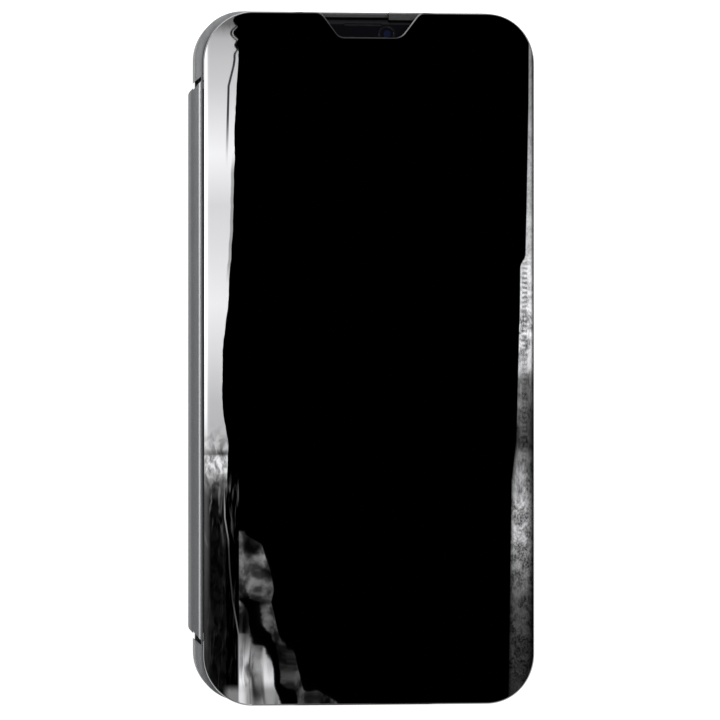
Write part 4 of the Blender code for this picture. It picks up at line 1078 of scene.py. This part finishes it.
def curve_of(value, low, high, stops):
    """A brightness or an angle that follows the value through these stops, each (where, how much)."""
    ramp = add(tree, "ShaderNodeFloatCurve")
    wire(ramp, Value=calc("DIVIDE", less(value, low), high - low))
    ramp.mapping.extend = "HORIZONTAL"
    points = ramp.mapping.curves[0].points
    most = max(amount for _, amount in stops) - min(amount for _, amount in stops)
    base = min(amount for _, amount in stops)
    placed = [((where - low) / (high - low), (amount - base) / most) for where, amount in stops]
    points[0].location = placed[0]
    points[1].location = placed[-1]
    for spot in placed[1:-1]:
        points.new(*spot)
    for made in points:
        made.handle_type = "VECTOR"
    ramp.mapping.update()
    return calc("MULTIPLY_ADD", ramp.outputs["Value"], most, base)


# The soft box: its inner edge is a hanging cloth's, and a dark cord hangs in front of it.
sway = noise(joined(times(along, 0.12), 0.0), 1.0, 3.0)
box_edge = curve_of(along, -85.0, 90.0, (
    (-85.0, -14.0), (-32.0, -14.0), (-26.0, -12.0), (-19.0, -12.0), (-10.0, -20.0), (2.0, -19.0),
    (13.0, -12.0), (25.0, -6.5), (36.0, -3.5), (48.0, -2.5), (60.0, -0.5), (72.0, 4.05), (76.0, 2.5),
    (90.0, 2.0)))
hanging = times(between(sway, 0.3, 0.7, -1.0, 1.0), between(along, 62.0, 68.0, 1.0, 0.05))
ruffle = times(calc("SINE", times(along, 1.05)), between(along, 70.0, 74.0, 0.0, 6.5))
ruffled = less(side_angle, ruffle)
wandering = plus(box_edge, hanging)
in_box = between(less(wandering, plus(side_angle, calc("ABSOLUTE", ruffle))), 0.0, 0.12)
box_light = curve_of(along, -85.0, 90.0, (
    (-85.0, 0.01), (-33.0, 0.01), (-30.0, 0.12), (-28.0, 0.8), (-26.0, 1.7), (-24.0, 2.1), (-22.8, 2.0),
    (-22.4, 0.4), (-21.6, 0.4), (-21.0, 1.3), (-10.0, 1.5), (2.0, 2.1), (13.0, 2.5), (25.0, 2.2),
    (36.0, 2.0), (48.0, 2.7), (59.0, 2.1), (64.0, 1.8), (70.0, 1.6), (75.0, 1.35), (76.5, 1.0),
    (78.5, 0.4), (90.0, 0.4)))
cloth_point = joined(times(side_angle, 0.12), times(along, 0.4))
stained = noise(cloth_point, 1.0, 3.0, 0.6)
box_light = times(
    box_light, plus(1.0, times(between(along, -14.0, -24.0), between(stained, 0.35, 0.65, -0.75, 0.35))))
drape = times(
    between(less(wandering, side_angle), 4.6, 3.4), between(apart(along, 33.0), 10.0, 16.0, 1.0, 0.0))
box_light = times(box_light, calc("MULTIPLY_ADD", drape, -0.52, 1.0))
bright_end = between(side_angle, -40.0, -43.0, 0.0, 1.0)
upper = between(along, -24.0, -10.0)
line_place = curve_of(along, 30.0, 90.0, (
    (30.0, -13.0), (48.0, -13.0), (58.0, -11.5), (64.0, -10.5), (68.7, -3.4), (72.0, -0.5), (90.0, -0.5)))
line_depth = between(along, 44.0, 58.0, 0.0, 0.93)
cord_dark = times(line_depth, between(apart(ruffled, line_place), 1.1, 2.2, 1.0, 0.0))
soft_box = times(in_box, times(box_light, less(1.0, cord_dark)))
soft_box = plus(soft_box, times(times(bright_end, upper), 1.5))
soft_box = times(soft_box, between(side_angle, -66.0, -56.0))

# The window on the other side: bright past its low edge, dim where the room shows through below it.
window_edge = curve_of(along, -85.0, 90.0, (
    (-85.0, 18.0), (-70.0, 20.0), (-42.0, 22.5), (-28.0, 24.0), (-19.0, 31.0), (0.0, 34.0), (13.0, 36.5),
    (22.0, 37.0), (24.0, 45.0), (36.0, 47.0), (60.0, 50.0), (90.0, 51.0)))
past_edge = less(side_angle, window_edge)
in_window = times(
    between(past_edge, 0.0, 1.2),
    calc("MAXIMUM", between(past_edge, 0.0, 7.0, 0.25, 1.0), between(along, -24.0, -10.0)))
window_light = curve_of(along, -85.0, 90.0, (
    (-85.0, 0.03), (-74.0, 0.06), (-62.0, 0.12), (-56.0, 0.18), (-48.0, 0.55), (-40.0, 1.15), (-34.0, 1.1),
    (-27.0, 0.8), (-20.0, 0.26), (-16.5, 0.18), (-11.0, 0.45), (-7.0, 0.4), (-4.5, 0.35), (-2.0, 1.3),
    (4.0, 1.8), (8.0, 2.0), (22.0, 2.1), (26.0, 1.7), (48.0, 1.25), (62.0, 0.8), (70.0, 0.6), (90.0, 0.55)))
room = joined(times(side_angle, 0.162), along)
grains = noise(room, 0.5, 4.0, 0.3)
patches = noise(room, 2.6, 2.0, 0.8)
busy = between(along, 24.0, 4.0, 0.35, 1.0)
glints = plus(
    1.0,
    times(busy, plus(between(grains, 0.34, 0.66, -0.5, 0.5), between(patches, 0.36, 0.64, -0.45, 0.45))))
rungs = add(tree, "ShaderNodeTexWave", {"bands_direction": "Y"}, {
    "Vector": room, "Scale": 0.28, "Distortion": 3.0, "Detail": 2.0}).outputs["Fac"]
rung_zone = times(
    between(calc("ABSOLUTE", along), 18.0, 28.0, 1.0, 0.0),
    between(apart(side_angle, 44.0), 2.5, 6.0, 1.0, 0.0))
rung_dark = times(rung_zone, between(rungs, 0.4, 0.6, 0.7, 0.0))
window = times(times(in_window, window_light), times(glints, less(1.0, rung_dark)))
fading = times(between(along, -2.0, -16.0), between(side_angle, 42.0, 55.0, 0.0, 0.72))
window = times(window, less(1.0, fading))
window = times(window, between(side_angle, 53.0, 58.0, 1.0, 0.12))

# The room's clutter low on the spine's side: a dim heap with one pale streak across it. Its shape is drawn
# over a level ceiling: over_flat is how far across that the ray lands, counted from where the flat of the
# mirror sends the view.
over_flat = calc("MULTIPLY_ADD", calc("TANGENT", calc("RADIANS", side_angle)), 988.0, -104.0)
heap_edge = curve_of(along, -90.0, -38.0, (
    (-90.0, 4.0), (-80.0, -4.0), (-77.0, -12.0), (-72.0, -15.0), (-65.0, -17.4), (-61.8, -19.0),
    (-56.5, -21.2), (-53.7, -19.9), (-49.0, -21.1), (-43.3, -23.4), (-40.5, -27.3), (-38.0, -27.8)))
in_heap = times(between(less(heap_edge, over_flat), 0.0, 0.3), between(along, -39.7, -40.1))
heap_point = joined(calc("MAXIMUM", over_flat, -60.0), along)
folds = noise(heap_point, 9.0, 7.0, 0.7)
leaning = add(tree, "ShaderNodeMapping", None, {
    "Vector": heap_point, "Rotation": (0.0, 0.0, math.radians(-26.0)), "Scale": (1.0, 0.2, 1.0)})
streaks = noise(leaning.outputs[0], 3.0, 5.0, 0.7)
from_band = plus(calc("MULTIPLY_ADD", plus(along, 56.0), 0.44, over_flat), 27.1)
crossing = plus(from_band, between(folds, 0.3, 0.7, -1.2, 1.2))
gap = times(between(calc("ABSOLUTE", crossing), 1.5, 2.1, 1.0, 0.0), between(along, -50.0, -56.0))
left_of_band = times(between(crossing, -1.4, -2.4), between(along, -57.0, -61.0))
crumple = between(noise(heap_point, 3.0, 7.0, 0.2), 0.36, 0.64, 0.25, 1.7)
heap_light = times(
    between(folds, 0.36, 0.66, 0.02, 0.42), times(crumple, between(along, -74.0, -44.0, 0.35, 1.0)))
streak_light = times(between(streaks, 0.36, 0.64, 0.08, 2.2), between(along, -62.0, -75.0, 0.02, 1.0))
streak_light = times(streak_light, between(along, -74.5, -77.5, 1.0, 0.4))
mixed = plus(times(heap_light, less(1.0, left_of_band)), times(streak_light, left_of_band))
on_flat = between(plus(over_flat, between(folds, 0.3, 0.7, -2.0, 2.0)), -32.5, -29.5)
heap = times(times(in_heap, on_flat), times(mixed, less(1.0, gap)))

# Beside the heap the bent edge squeezes the same clutter into thin upright smears.
squeezed = joined(times(side_angle, 0.3), times(along, 0.22))
smears = between(noise(squeezed, 2.2, 3.0, 1.1), 0.52, 0.78, 0.0, 0.4)
smears = times(smears, times(between(along, -26.0, -31.0), between(along, -34.0, -48.0, 1.0, 0.12)))
rim_glow = times(between(side_angle, -36.0, -44.0, 0.0, 0.25), between(along, -20.0, -75.0, 1.0, 0.2))
thread_place = curve_of(along, -85.0, -30.0, (
    (-85.0, 4.0), (-64.0, 3.6), (-56.0, -5.0), (-49.0, -9.0), (-42.0, -11.0), (-37.0, -16.0),
    (-30.0, -17.0)))
thread = between(apart(side_angle, thread_place), 0.5, 1.3, 1.0, 0.0)
thread = times(thread, curve_of(along, -85.0, -24.0, (
    (-85.0, 0.8), (-66.0, 0.5), (-56.0, 0.08), (-44.0, 0.12), (-40.0, 0.6), (-35.0, 0.8), (-30.0, 0.2),
    (-24.0, 0.0))))
low_corner = times(between(along, -75.5, -78.0), between(side_angle, -20.0, -8.0, 0.0, 0.6))
low_corner = times(low_corner, between(side_angle, 4.4, 4.8, 1.0, 0.0))
on_edge = between(side_angle, -58.0, -50.0)
clutter = times(
    on_edge, plus(times(smears, between(side_angle, 4.3, 3.0)), plus(plus(rim_glow, low_corner), thread)))
clutter = times(clutter, between(side_angle, 4.6, 4.35))

# The rest of the dome: pale near the floor, but not past the window, and faintly lit towards its two ends.
across = between(calc("ABSOLUTE", along), 110.0, 170.0, 1.0, 0.0)
pale_low = plus(between(up, 0.45, 0.2, 0.0, 0.3), between(up, 0.12, 0.05, 0.0, 0.5))
right_dark = times(across, between(side_angle, 40.0, 52.0, 0.0, 0.85))
pale_low = times(pale_low, less(1.0, right_dark))
ceiling = times(less(1.0, across), between(apart(along, 60.0), 120.0, 900.0, 0.0, 0.22))
pale_low = plus(pale_low, ceiling)
overall = plus(plus(soft_box, window), plus(plus(heap, clutter), pale_low))
wire(background, Strength=overall)
background.inputs["Color"].default_value = (1.0, 1.0, 1.0, 1.0)

bpy.context.scene.view_settings.view_transform = "Standard"
